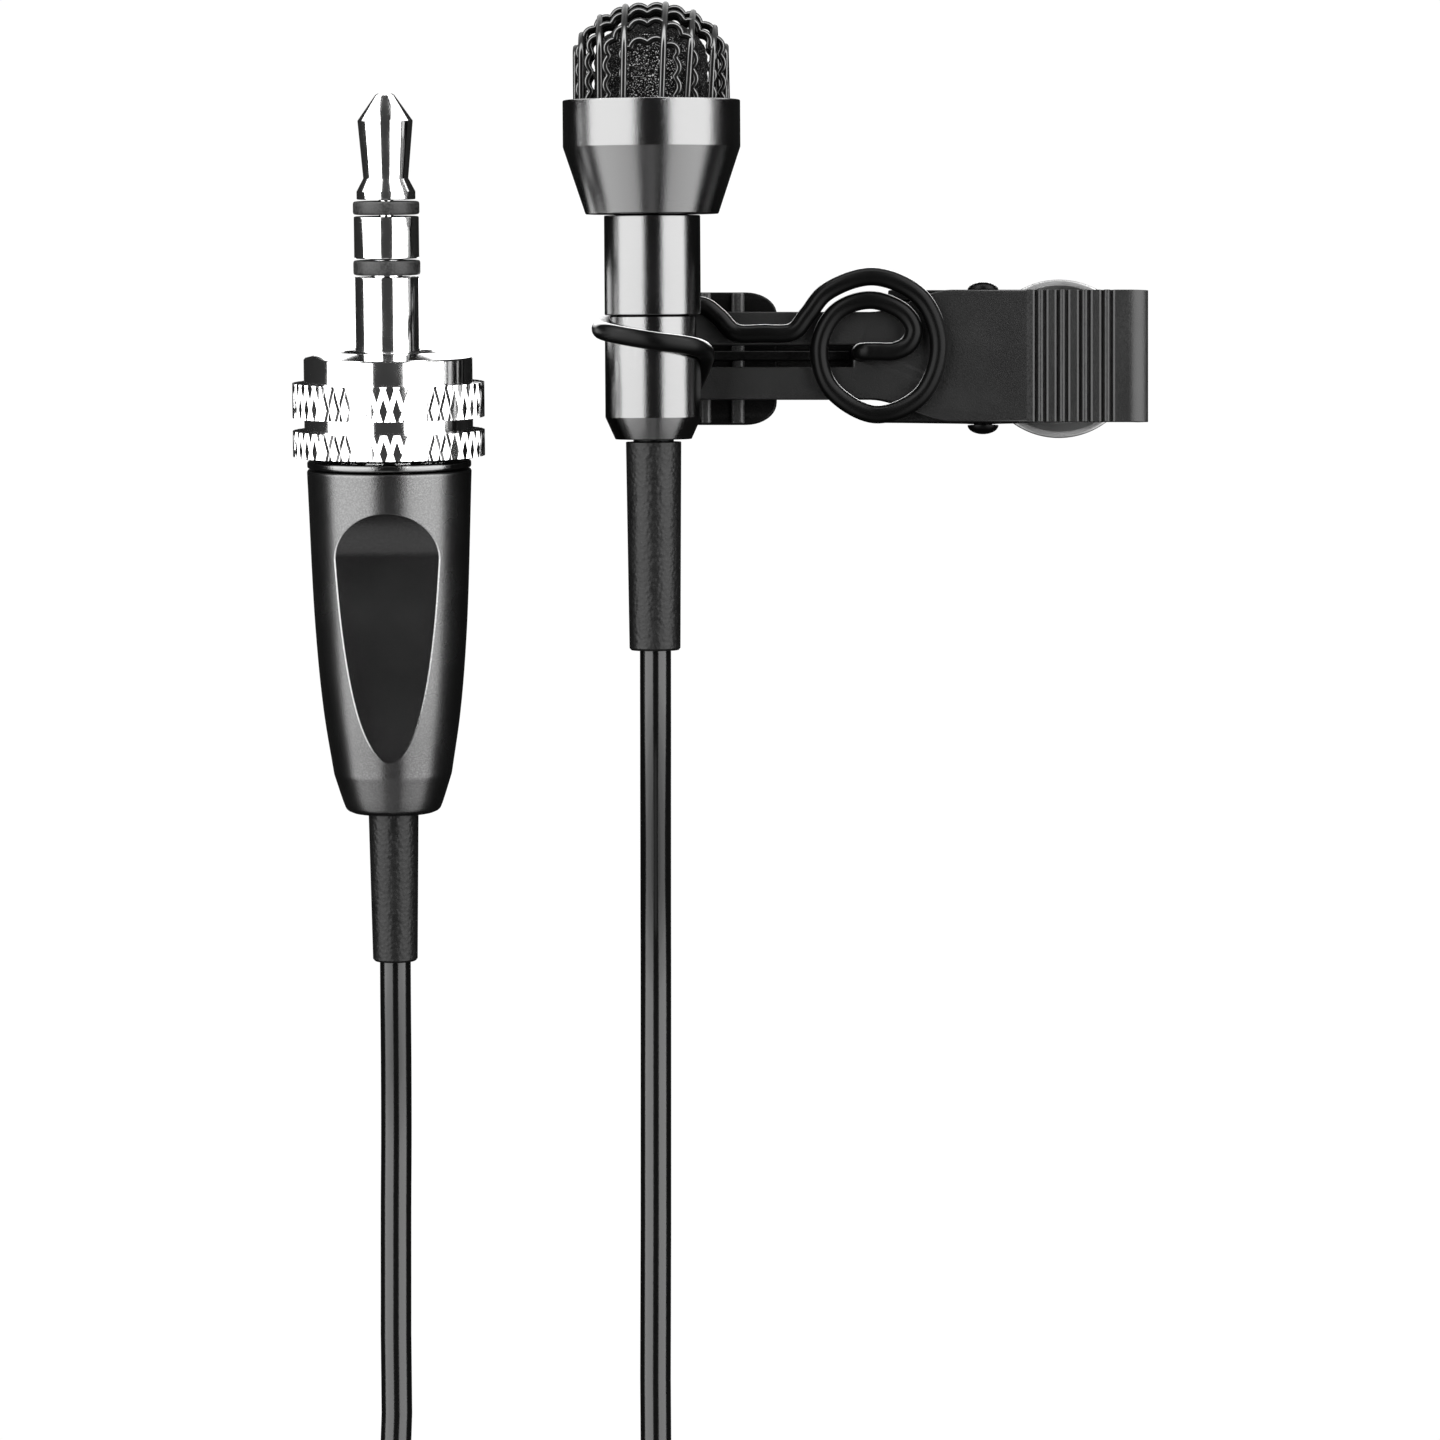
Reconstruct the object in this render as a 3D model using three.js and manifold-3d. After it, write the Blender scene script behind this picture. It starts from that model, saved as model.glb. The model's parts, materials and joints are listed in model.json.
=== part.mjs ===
// Clip-on lavalier microphone with a locking 3.5 mm plug, laid flat with its cable coiled.
// Millimetres, +Z up. The origin is on the underside of the clip's lower lever, below the swivel pin.
import * as THREE from 'three';
import { mergeVertices } from 'three/addons/utils/BufferGeometryUtils.js';
import Module from 'manifold-3d';

const wasm = await Module();
wasm.setup();

// Driving dimensions: where the microphone and the plug lie
const micPoint = new THREE.Vector3(-11.4, 1.0, 7.0);
const micPitch = THREE.MathUtils.degToRad(4.0);
const micTilt = THREE.MathUtils.degToRad(0.35);
const plugPoint = new THREE.Vector3(-25.84, -4.19, 5.48);
const plugPitch = THREE.MathUtils.degToRad(6.3);
const plugTilt = THREE.MathUtils.degToRad(0.36);

// Microphone, measured along its axis from the middle of the clip's wire
const headRadius = 4.82;
const headTop = 12.61;
const headBandEnd = 10.08;
const headBottom = 6.45;
const headBottomRadius = 3.61;
const domeRadius = 4.28;
const domeShoulder = 14.9;
const domeTop = 17.95;
const domeBase = 11.9;
const domeWall = 0.4;
const tubeRadius = 2.615;
const tubeSeam = 0.93;
const tubeEnd = -4.56;
const tailEnd = -5.76;
const tailRadius = 2.075;
const grooveRadius = 2.36;
const grooveEnd = -0.33;
const reliefEnd = -17.26;

// Clip
const sheet = 0.7;
const plateTop = 3.4;
const plateHalf = 3.63;
const plateRear = 15.84;
const tongueHalf = 2.41;
const tongueTip = -12.0;
const wireRadius = 0.42;
const wireHeight = 4.0;
const swivelY = 0.18;
const pivotX = 6.8;
const pivotZ = 1.4;
const pinRadius = 0.5;
const pinHole = 0.62;
const jawTip = -12.4;
const jawHeel = -4.6;
const jawHalf = 3.66;
const jawThickness = 0.9;
const ridgeTop = 1.3;
const padX = 11.06;
const padRadius = 4.39;
const padFlat = 8.1;

// Plug, measured along its axis from between the two knurled bands
const sleeveRadius = 1.77;
const ringBody = 4.6;
const knurlRadius = 5.24;
const barrelTop = -2.15;
const barrelEnd = -21.1;
const recessHeight = 3.38;
const plugReliefEnd = -29.28;

// Cable
const cableRadius = 0.85;
const coilCentre = new THREE.Vector2(-18.5, -82);
const coilInner = 5.5;
const coilOuter = 14.1;
const coilBottom = 0.35;
const coilTop = 6.6;
const tieThickness = 0.2;
const tieHalfWidth = 1.3;

const roundSides = 32;

function finish(color, roughness, metalness) {
  return new THREE.MeshStandardMaterial({ color, roughness, metalness });
}

const blackMetal = finish(0x2c2c2e, 0.38, 0.8);
const clipPaint = finish(0x2a2a2b, 0.6, 0.3);
const wireCoat = finish(0x161616, 0.4, 0.2);
const nickel = finish(0xd8d9da, 0.22, 1.0);
const rubber = finish(0x1c1c1c, 0.8, 0.0);
const cableSkin = finish(0x222223, 0.55, 0.0);
const foam = finish(0x17171a, 0.95, 0.0);
const plasticBlack = finish(0x1e1e1e, 0.6, 0.0);
const brass = finish(0xc8a560, 0.35, 1.0);
const copper = finish(0xb8734a, 0.4, 1.0);
const boardGreen = finish(0x1f5a3a, 0.6, 0.0);

// Solids and booleans

function weld(geometry) {
  const bare = geometry.index ? geometry.toNonIndexed() : geometry.clone();
  bare.deleteAttribute('normal');
  bare.deleteAttribute('uv');
  return mergeVertices(bare, 1e-5);
}

function toSolid(geometry) {
  const welded = weld(geometry);
  const vertProperties = new Float32Array(welded.attributes.position.array);
  const triVerts = new Uint32Array(welded.index.array);
  return new wasm.Manifold(new wasm.Mesh({ numProp: 3, vertProperties, triVerts }));
}

function toGeometry(solid) {
  const mesh = solid.getMesh();
  const geometry = new THREE.BufferGeometry();
  geometry.setAttribute('position', new THREE.BufferAttribute(new Float32Array(mesh.vertProperties), 3));
  geometry.setIndex(new THREE.BufferAttribute(new Uint32Array(mesh.triVerts), 1));
  geometry.computeVertexNormals();
  return geometry;
}

function join(...geometries) {
  return toGeometry(geometries.map(toSolid).reduce((whole, piece) => whole.add(piece)));
}

function cut(geometry, ...tools) {
  return toGeometry(tools.map(toSolid).reduce((rest, tool) => rest.subtract(tool), toSolid(geometry)));
}

function common(first, second) {
  return toGeometry(toSolid(first).intersect(toSolid(second)));
}

// A turned solid about Y. The outline is [radius, height] pairs, outside wall going up.
function turned(outline, sides = roundSides) {
  return new THREE.LatheGeometry(outline.map(([r, y]) => new THREE.Vector2(r, y)), sides);
}

function tube(outer, inner, bottom, top, sides = roundSides) {
  return turned([[inner, bottom], [outer, bottom], [outer, top], [inner, top], [inner, bottom]], sides);
}

function rod(radius, bottom, top, sides = roundSides) {
  return turned([[0, bottom], [radius, bottom], [radius, top], [0, top]], sides);
}

// Points on a quarter ellipse from (radius, base) up to (0, base + height)
function quarterDome(radius, base, height, steps) {
  return Array.from({ length: steps + 1 }, (_, i) => {
    const angle = (i / steps) * (Math.PI / 2);
    return [i === steps ? 0 : radius * Math.cos(angle), base + height * Math.sin(angle)];
  });
}

function box(x0, x1, y0, y1, z0, z1) {
  const geometry = new THREE.BoxGeometry(x1 - x0, y1 - y0, z1 - z0);
  return geometry.translate((x0 + x1) / 2, (y0 + y1) / 2, (z0 + z1) / 2);
}

function flatShape(points) {
  return new THREE.Shape(points.map(([x, y]) => new THREE.Vector2(x, y)));
}

// A plate with an outline in XY, from z0 up to z1
function plate(shape, z0, z1, curveSegments = 8) {
  const geometry = new THREE.ExtrudeGeometry(shape, { depth: z1 - z0, bevelEnabled: false, curveSegments });
  return geometry.translate(0, 0, z0);
}

// A plate standing on edge, with an outline in XZ, from y0 to y1
function sidePlate(shape, y0, y1, curveSegments = 8) {
  const geometry = new THREE.ExtrudeGeometry(shape, { depth: y1 - y0, bevelEnabled: false, curveSegments });
  return geometry.rotateX(Math.PI / 2).translate(0, y1, 0);
}

function crossPin(radius, x, z, y0, y1, sides = 24) {
  return rod(radius, y0, y1, sides).translate(x, 0, z);
}

// A round bar swept along a smooth curve through the points
function sweep(points, radius, steps, sides = 8) {
  const section = Array.from({ length: sides }, (_, i) => {
    const angle = (i / sides) * 2 * Math.PI;
    return [radius * Math.cos(angle), radius * Math.sin(angle)];
  });
  const extrudePath = new THREE.CatmullRomCurve3(points, false, 'centripetal');
  return new THREE.ExtrudeGeometry(flatShape(section), { steps, extrudePath, bevelEnabled: false });
}

const microphone = new THREE.Group();
const micGroup = new THREE.Group();
micGroup.position.copy(micPoint);
micGroup.rotation.set(micPitch, 0, micTilt, 'ZYX');
const plugGroup = new THREE.Group();
plugGroup.position.copy(plugPoint);
plugGroup.rotation.set(plugPitch, 0, plugTilt, 'ZYX');
microphone.add(micGroup, plugGroup);
microphone.updateMatrixWorld(true);

function addPart(group, name, geometry, material) {
  const mesh = new THREE.Mesh(geometry, material);
  mesh.name = name;
  group.add(mesh);
}

// Microphone head

function grille() {
  const inner = quarterDome(domeRadius - domeWall, domeShoulder, domeTop - domeShoulder - domeWall, 6);
  const outer = quarterDome(domeRadius, domeShoulder, domeTop - domeShoulder, 6);
  return turned([...inner.reverse(), [domeRadius - domeWall, domeBase], [domeRadius, domeBase], ...outer]);
}

function foamWindscreen() {
  const radius = 3.55;
  return turned([[0, 11.05], [3.4, 11.05], [3.4, domeBase], [radius, domeBase + 0.2],
    ...quarterDome(radius, domeShoulder, 2.35, 5)], 24);
}

function headCup() {
  return turned([[2.15, headBottom], [headBottomRadius, headBottom], [headRadius, headBandEnd],
    [headRadius, headTop], [4.6, headTop], [4.6, 11.6], [3.7, 11.6], [3.7, 8.3], [2.15, 8.3],
    [2.15, headBottom]], 40);
}

function upperBarrel() {
  return turned([[2.1, 0.98], [tubeRadius, 0.98], [tubeRadius, 6.38], [1.85, 6.38], [1.85, 8.1], [1.5, 8.1],
    [1.5, 2.6], [2.1, 2.6], [2.1, 0.98]]);
}

function lowerBarrel() {
  return turned([[1.25, tailEnd], [tailRadius, tailEnd], [tubeRadius, tubeEnd], [tubeRadius, grooveEnd],
    [grooveRadius, grooveEnd], [grooveRadius, tubeSeam], [1.95, tubeSeam], [1.95, 2.45], [1.6, 2.45],
    [1.6, -4.9], [1.25, -4.9], [1.25, tailEnd]]);
}

function micStrainRelief() {
  return turned([[0, reliefEnd], [1.22, reliefEnd], [1.392, reliefEnd + 0.18], [1.508, -5.9], [1.1, -5.9],
    [1.1, -4.75], [1.35, -4.75], [1.35, -3.7], [0, -3.7]], 24);
}

addPart(micGroup, 'grille', grille(), blackMetal);
addPart(micGroup, 'foam_windscreen', foamWindscreen(), foam);
addPart(micGroup, 'head_cup', headCup(), blackMetal);
addPart(micGroup, 'capsule_felt', rod(2.4, 10.5, 10.8, 20), foam);
addPart(micGroup, 'electret_capsule', rod(2.7, 8.95, 10.35, 24), nickel);
addPart(micGroup, 'capsule_gasket', tube(3.55, 2.82, 9.05, 10.2, 24), rubber);
addPart(micGroup, 'capsule_board', rod(2.4, 8.45, 8.8, 20), boardGreen);
addPart(micGroup, 'signal_lead', rod(0.22, -3.2, 8.35, 8).translate(0.55, 0, 0), copper);
addPart(micGroup, 'ground_lead', rod(0.22, -3.2, 8.35, 8).translate(-0.55, 0, 0), copper);
addPart(micGroup, 'upper_barrel', upperBarrel(), blackMetal);
addPart(micGroup, 'lower_barrel', lowerBarrel(), blackMetal);
addPart(micGroup, 'cable_crimp', tube(1.35, 0.98, -3.3, -1.9, 20), brass);
addPart(micGroup, 'mic_strain_relief', micStrainRelief(), rubber);

// Clip

// A point beside the microphone: angle about its axis (0 is +X, 90 is up), height and distance
function besideMic(degrees, height, distance) {
  const angle = THREE.MathUtils.degToRad(degrees);
  const local = new THREE.Vector3(distance * Math.cos(angle), height, distance * Math.sin(angle));
  return local.applyMatrix4(micGroup.matrixWorld);
}

// One bent wire: swivel pin, hook, spiral, straight arm, and the ring round the lower barrel
function wireHolder() {
  const flat = [[0.9, 0.18], [1.85, 0.2], [2.62, 0.62], [2.88, 1.4], [2.3, 2.35], [0.5, 3.01], [-1.35, 2.36],
    [-2.29, 0.5], [-1.75, -1.75], [0.76, -3.27], [3.3, -2.2], [4.27, 0.49], [3.3, 3.1], [0.7, 4.3],
    [-1.9, 3.45], [-2.95, 2.2], [-3.75, 1.28], [-5.4, 1.18], [-6.95, 1.24], [-7.85, 2.1], [-8.75, 2.7]];
  const around = [[-90, 1.0, 3.09], [-135, 0.62, 2.98], [180, 0.25, 2.83], [135, -0.02, 2.95],
    [90, -0.4, 3.09], [45, -0.72, 3.09], [5, -1.15, 3.09], [-22, -2.0, 3.09], [-40, -2.9, 3.09]];
  const points = [new THREE.Vector3(0, swivelY, 1.9), new THREE.Vector3(0, swivelY, 2.8),
    new THREE.Vector3(0.02, swivelY, 3.6), new THREE.Vector3(0.25, swivelY, wireHeight - 0.06),
    ...flat.map(([x, y]) => new THREE.Vector3(x, y, wireHeight)),
    ...around.map(([degrees, height, distance]) => besideMic(degrees, height, distance))];
  return sweep(points, wireRadius, 96);
}

// The upper plate from above: a narrow tongue that widens to the full width
function upperOutline() {
  const shape = new THREE.Shape();
  shape.moveTo(tongueTip, -tongueHalf);
  shape.lineTo(0.2, -tongueHalf);
  shape.quadraticCurveTo(2.3, -tongueHalf - 0.1, 3.0, -3.2);
  shape.quadraticCurveTo(3.5, -plateHalf, 4.6, -plateHalf);
  shape.lineTo(plateRear, -plateHalf);
  shape.lineTo(plateRear, plateHalf);
  shape.lineTo(4.6, plateHalf);
  shape.quadraticCurveTo(3.5, plateHalf, 3.0, 3.2);
  shape.quadraticCurveTo(2.3, tongueHalf + 0.1, 0.2, tongueHalf);
  shape.lineTo(tongueTip, tongueHalf);
  shape.closePath();
  return shape;
}

// Side wall that carries the pivot pin
function flangeOutline() {
  const shape = new THREE.Shape();
  shape.moveTo(1.0, plateTop - 0.35);
  shape.lineTo(2.4, 1.6);
  shape.lineTo(5.7, 0.75);
  shape.absarc(pivotX, pivotZ, 1.2, THREE.MathUtils.degToRad(215), THREE.MathUtils.degToRad(325), false);
  shape.lineTo(11.4, plateTop - sheet - 0.2);
  shape.lineTo(11.4, plateTop - 0.35);
  shape.closePath();
  return shape;
}

function upperLever() {
  const pieces = [plate(upperOutline(), plateTop - sheet, plateTop, 5)];
  for (const side of [-1, 1]) {
    const y0 = side < 0 ? -plateHalf : plateHalf - 0.6;
    pieces.push(sidePlate(flangeOutline(), y0, y0 + 0.6, 5));
  }
  const ribWidth = 0.79;
  for (const x of [9.51, 10.71, 11.94, 13.17]) {
    pieces.push(box(x, x + ribWidth, -plateHalf, plateHalf, plateTop - 0.3, plateTop + 0.16));
  }
  pieces.push(box(tongueTip, tongueTip + 0.7, -tongueHalf, tongueHalf, ridgeTop + 0.15, plateTop - 0.3));
  const slot = box(-10.2, -0.44, -0.62, 0.58, 1, 5);
  const swivelHole = rod(pinHole, -5, 5, 24).rotateX(Math.PI / 2).translate(0, swivelY, 3);
  const pivotHole = crossPin(pinHole, pivotX, pivotZ, -6, 6);
  return cut(join(...pieces), slot, swivelHole, pivotHole);
}

// The lower lever seen from the side: jaw with cross ridges, flat neck, raised tail
function lowerSide() {
  const ridges = [[-12.2, -11.5], [-10.5, -9.8], [-8.8, -8.25], [-7.1, -6.4]];
  const top = ridges.flatMap(([x0, x1]) => [[x0, jawThickness], [x0, ridgeTop], [x1, ridgeTop],
    [x1, jawThickness]]);
  return flatShape([[jawTip, 0], [5.2, 0], [6.0, 0.75], [12.6, 0.75], [12.6, pivotZ], [5.6, pivotZ],
    [4.7, 0.8], [jawHeel + 0.3, 0.8], ...top.reverse(), [jawTip, jawThickness]]);
}

function lowerOutline() {
  const neckHalf = 2.0;
  const bodyHalf = 2.7;
  const tailHalf = 1.6;
  const half = [[jawTip, jawHalf - 1.0], [jawTip + 0.9, jawHalf], [jawHeel - 1.7, jawHalf],
    [jawHeel - 0.8, jawHalf - 0.3], [jawHeel - 0.2, jawHalf - 0.85], [jawHeel, neckHalf],
    [4.2, neckHalf], [4.7, bodyHalf], [8.7, bodyHalf], [9.2, tailHalf], [11.9, tailHalf],
    [12.6, tailHalf - 0.7]];
  return flatShape([...half.map(([x, y]) => [x, -y]), ...half.reverse()]);
}

function earOutline() {
  const shape = new THREE.Shape();
  shape.moveTo(5.5, 0.9);
  shape.lineTo(8.1, 0.9);
  shape.absarc(pivotX, pivotZ, 1.15, 0, Math.PI, false);
  shape.closePath();
  return shape;
}

function lowerLever() {
  const ears = [-2.7, 2.15].map((y0) => sidePlate(earOutline(), y0, y0 + 0.55, 6));
  const lever = join(common(sidePlate(lowerSide(), -5, 5), plate(lowerOutline(), -1, 3)), ...ears);
  const springWindow = box(5.2, 8.35, -1.75, 1.75, 0.3, 3);
  const rivetHole = rod(0.65, -2, 3, 20).rotateX(Math.PI / 2).translate(padX, 0, 0);
  return cut(lever, springWindow, rivetHole, crossPin(pinHole, pivotX, pivotZ, -6, 6));
}

// A dished disc with a straight edge towards the spring
function thumbPad() {
  const disc = turned([[0.65, 0], [4.1, 0], [padRadius, 0.22], [padRadius, 0.6], [3.9, 0.6], [3.6, 0.4],
    [0.65, 0.4], [0.65, 0]], 40).rotateX(Math.PI / 2).translate(padX, 0, 0);
  return cut(disc, box(padX - padRadius - 1, padFlat, -padRadius, padRadius, -1, 2));
}

function padRivet() {
  return turned([[0, 0.08], [0.5, 0.08], [0.5, 1.5], [0.85, 1.5], [0.7, 1.72], [0, 1.8]], 16)
    .rotateX(Math.PI / 2).translate(padX, 0, 0);
}

function pivotPin() {
  const shoulder = plateHalf + 0.1;
  const dome = [[0.86, shoulder], [0.78, shoulder + 0.25], [0.5, shoulder + 0.42], [0, shoulder + 0.5]];
  const foot = dome.map(([r, y]) => [r, -y]).reverse();
  return turned([...foot, [pinRadius, -shoulder], [pinRadius, shoulder], ...dome], 20)
    .translate(pivotX, 0, pivotZ);
}

function torsionSpring() {
  const turns = 4;
  const perTurn = 12;
  const radius = 0.85;
  const points = [new THREE.Vector3(9.8, -1.4, 2.42), new THREE.Vector3(8.4, -1.4, 2.4)];
  for (let i = 0; i <= turns * perTurn; i += 1) {
    const angle = Math.PI / 2 - (i / perTurn) * 2 * Math.PI;
    const y = -1.4 + (2.8 * i) / (turns * perTurn);
    points.push(new THREE.Vector3(pivotX + radius * Math.cos(angle), y, pivotZ + radius * Math.sin(angle)));
  }
  points.push(new THREE.Vector3(8.0, 1.4, 2.14), new THREE.Vector3(9.3, 1.4, 2.1));
  return sweep(points, 0.13, 90, 6);
}

addPart(microphone, 'wire_holder', wireHolder(), wireCoat);
addPart(microphone, 'upper_lever', upperLever(), clipPaint);
addPart(microphone, 'lower_lever', lowerLever(), clipPaint);
addPart(microphone, 'thumb_pad', thumbPad(), nickel);
addPart(microphone, 'pad_rivet', padRivet(), nickel);
addPart(microphone, 'pivot_pin', pivotPin(), wireCoat);
addPart(microphone, 'torsion_spring', torsionSpring(), nickel);

// Plug

function tipContact() {
  return turned([[0, -7], [0.4, -7], [0.4, 12.55], [1.6, 12.55], [1.6, 12.98], [1.224, 13.69], [1.503, 16.81],
    [0.516, 18.2], [0.4, 18.27], [0, 18.27]], 24);
}

function ringContact() {
  return turned([[0.6, -5.5], [0.9, -5.5], [0.9, 9.35], [sleeveRadius, 9.35], [sleeveRadius, 11.63],
    [0.6, 11.63], [0.6, -5.5]], 24);
}

function sleeveContact() {
  return turned([[1.2, -4], [sleeveRadius, -4], [sleeveRadius, -1.4], [3.1, -1.4], [3.1, -0.5],
    [sleeveRadius, -0.5], [sleeveRadius, 8.35], [1.2, 8.35], [1.2, -4]], 24);
}

function lockingRing() {
  return turned([[3.3, -1.55], [4.55, -1.55], [knurlRadius, -1.4], [knurlRadius, 0], [ringBody, 0.1],
    [ringBody, 0.6], [knurlRadius, 0.72], [knurlRadius, 2.6], [ringBody, 2.7], [ringBody, 3.93],
    [3.27, 4.26], [2.85, 4.26], [2.85, 0.9], [2.15, 0.9], [2.15, -0.2], [3.3, -0.2], [3.3, -1.55]], 40);
}

function gripBarrel() {
  const shell = turned([[1.55, barrelEnd], [2.31, barrelEnd], [2.697, -20.54], [3.235, -18.88],
    [3.758, -15.39], [4.153, -10.81], [4.5, barrelTop], [2.9, barrelTop], [2.9, -13], [2.4, -14],
    [2.4, -18], [1.55, -18], [1.55, barrelEnd]], 48);
  const side = flatShape([[-19, recessHeight], [-7.1, recessHeight], [-4.66, 4.4], [-3.2, 6], [-19, 6]]);
  const recess = new THREE.ExtrudeGeometry(side, { depth: 10, bevelEnabled: false });
  const upright = new THREE.Matrix4().set(0, 0, 1, 0, 1, 0, 0, 0, 0, 1, 0, 0, 0, 0, 0, 1);
  recess.translate(0, 0, -5).applyMatrix4(upright);
  return cut(shell, recess);
}

function plugStrainRelief() {
  return turned([[0, plugReliefEnd], [1.05, plugReliefEnd], [1.231, plugReliefEnd + 0.2], [1.371, -21.15],
    [1.371, -17.85], [2.1, -17.85], [2.1, -15.2], [0, -15.2]], 24);
}

addPart(plugGroup, 'tip_contact', tipContact(), nickel);
addPart(plugGroup, 'tip_insulator', tube(1.81, 0.55, 11.73, 12.45, 24), plasticBlack);
addPart(plugGroup, 'ring_contact', ringContact(), nickel);
addPart(plugGroup, 'ring_insulator', tube(1.825, 1.05, 8.45, 9.25, 24), plasticBlack);
addPart(plugGroup, 'sleeve_contact', sleeveContact(), nickel);
addPart(plugGroup, 'locking_ring', lockingRing(), nickel);
addPart(plugGroup, 'retaining_collar', tube(4.48, 1.92, -2.05, -1.67, 40), blackMetal);
addPart(plugGroup, 'grip_barrel', gripBarrel(), blackMetal);
addPart(plugGroup, 'terminal_block', tube(2.6, 1.05, -5.3, -4.2, 24), plasticBlack);
addPart(plugGroup, 'plug_signal_lead', rod(0.22, -14.9, -7.2, 8).translate(0.45, 0, 0), copper);
addPart(plugGroup, 'plug_ground_lead', rod(0.22, -14.9, -7.2, 8).translate(-0.45, 0, 0), copper);
addPart(plugGroup, 'plug_cable_clamp', tube(1.6, 0.98, -13.6, -11.8, 20), brass);
addPart(plugGroup, 'plug_strain_relief', plugStrainRelief(), rubber);

// Cable: two free stretches, and the wound length held by a tie

// Hand-chosen route from the microphone's strain relief to the coil
const micRoute = [[-11.27, -16.32, 5.79], [-11.27, -18.6, 5.58], [-11.27, -21.0, 5.16], [-11.28, -24.0, 4.25],
  [-11.29, -27.5, 2.85], [-11.3, -30.5, 1.72], [-11.3, -33.5, 1.08], [-11.3, -37.0, 0.87],
  [-11.3, -48.0, 0.87], [-11.3, -60.0, 0.87], [-11.15, -64.0, 0.87], [-10.25, -67.6, 0.87],
  [-8.5, -70.8, 0.87]];

// Hand-chosen route from the plug's strain relief to the coil
const plugRoute = [[-25.66, -33.4, 2.26], [-25.66, -35.4, 2.04], [-25.66, -37.8, 1.64], [-25.67, -40.5, 1.16],
  [-25.68, -43.5, 0.9], [-25.7, -47.0, 0.87], [-25.7, -54.0, 0.87], [-25.72, -60.5, 0.87],
  [-26.3, -64.5, 1.2], [-27.9, -68.3, 2.25], [-29.2, -71.4, 3.4]];

function cableRun(route, steps) {
  return sweep(route.map(([x, y, z]) => new THREE.Vector3(x, y, z)), cableRadius, steps);
}

function cableCoil() {
  const edge = 0.9;
  return turned([[coilInner, coilBottom + edge], [coilInner + edge, coilBottom],
    [coilOuter - edge, coilBottom], [coilOuter, coilBottom + edge], [coilOuter, coilTop - edge],
    [coilOuter - edge, coilTop], [coilInner + edge, coilTop], [coilInner, coilTop - edge],
    [coilInner, coilBottom + edge]], 36)
    .rotateX(Math.PI / 2).translate(coilCentre.x, coilCentre.y, 0);
}

function cableTie() {
  const clearance = 0.15;
  const sideClearance = 0.35;
  const near = coilInner - sideClearance;
  const far = coilOuter + sideClearance;
  const outside = box(near - tieThickness, far + tieThickness, -tieHalfWidth, tieHalfWidth, 0,
    coilTop + clearance + tieThickness);
  const inside = box(near, far, -9, 9, tieThickness, coilTop + clearance);
  return cut(outside, inside).rotateZ(-Math.PI / 2).translate(coilCentre.x, coilCentre.y, 0);
}

addPart(microphone, 'cable_mic_run', cableRun(micRoute, 24), cableSkin);
addPart(microphone, 'cable_plug_run', cableRun(plugRoute, 18), cableSkin);
addPart(microphone, 'cable_coil', cableCoil(), cableSkin);
addPart(microphone, 'cable_tie', cableTie(), rubber);

export default microphone;
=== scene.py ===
import json
import math

import bmesh
import bpy
from mathutils import Matrix, Vector, noise


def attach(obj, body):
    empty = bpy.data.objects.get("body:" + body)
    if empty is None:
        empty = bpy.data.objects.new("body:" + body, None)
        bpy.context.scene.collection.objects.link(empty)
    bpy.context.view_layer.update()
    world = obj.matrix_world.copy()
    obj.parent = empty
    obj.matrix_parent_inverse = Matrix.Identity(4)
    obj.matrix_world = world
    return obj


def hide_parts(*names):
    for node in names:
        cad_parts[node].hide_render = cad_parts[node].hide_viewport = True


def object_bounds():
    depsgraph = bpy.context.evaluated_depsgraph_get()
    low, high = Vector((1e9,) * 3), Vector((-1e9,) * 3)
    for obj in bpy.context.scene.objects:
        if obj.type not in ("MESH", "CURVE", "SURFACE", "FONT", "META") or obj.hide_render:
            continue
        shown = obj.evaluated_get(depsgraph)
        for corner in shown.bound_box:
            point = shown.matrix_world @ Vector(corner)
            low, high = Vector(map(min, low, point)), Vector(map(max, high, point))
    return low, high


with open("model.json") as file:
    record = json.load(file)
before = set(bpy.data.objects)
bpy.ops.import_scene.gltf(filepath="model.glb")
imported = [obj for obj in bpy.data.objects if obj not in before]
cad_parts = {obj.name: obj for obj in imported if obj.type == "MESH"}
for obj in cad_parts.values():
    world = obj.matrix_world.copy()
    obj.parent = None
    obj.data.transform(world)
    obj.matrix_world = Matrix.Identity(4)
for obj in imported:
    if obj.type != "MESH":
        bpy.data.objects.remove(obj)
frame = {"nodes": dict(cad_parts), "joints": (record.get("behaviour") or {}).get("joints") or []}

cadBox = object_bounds()
mm = 0.001
scene = bpy.context.scene
joints = {joint["name"]: joint for joint in frame["joints"]}
print("frame loaded:", len(frame["nodes"]), "nodes")


# a frame whose +Y runs along a joint's axis, in millimetres, with +X level
def axisFrame(point, along):
    up = Vector(along).normalized()
    side = up.cross(Vector((0, 0, 1))).normalized()
    turn = Matrix((side, up, side.cross(up))).transposed().to_4x4()
    return Matrix.Translation(Vector(point)) @ turn @ Matrix.Scale(mm, 4)


holderJoint = joints["holder_turn"]
micFrame = axisFrame(holderJoint["pos_m"], -Vector(holderJoint["axis"]))
plugFrame = axisFrame(joints["lock_turn"]["pos_m"], joints["lock_turn"]["axis"])
clipFrame = Matrix.Scale(mm, 4)
swivel = Vector(joints["clip_swivel"]["pos_m"]) / mm
pivot = Vector(joints["clip_open"]["pos_m"]) / mm

# camera, floor and light

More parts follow.
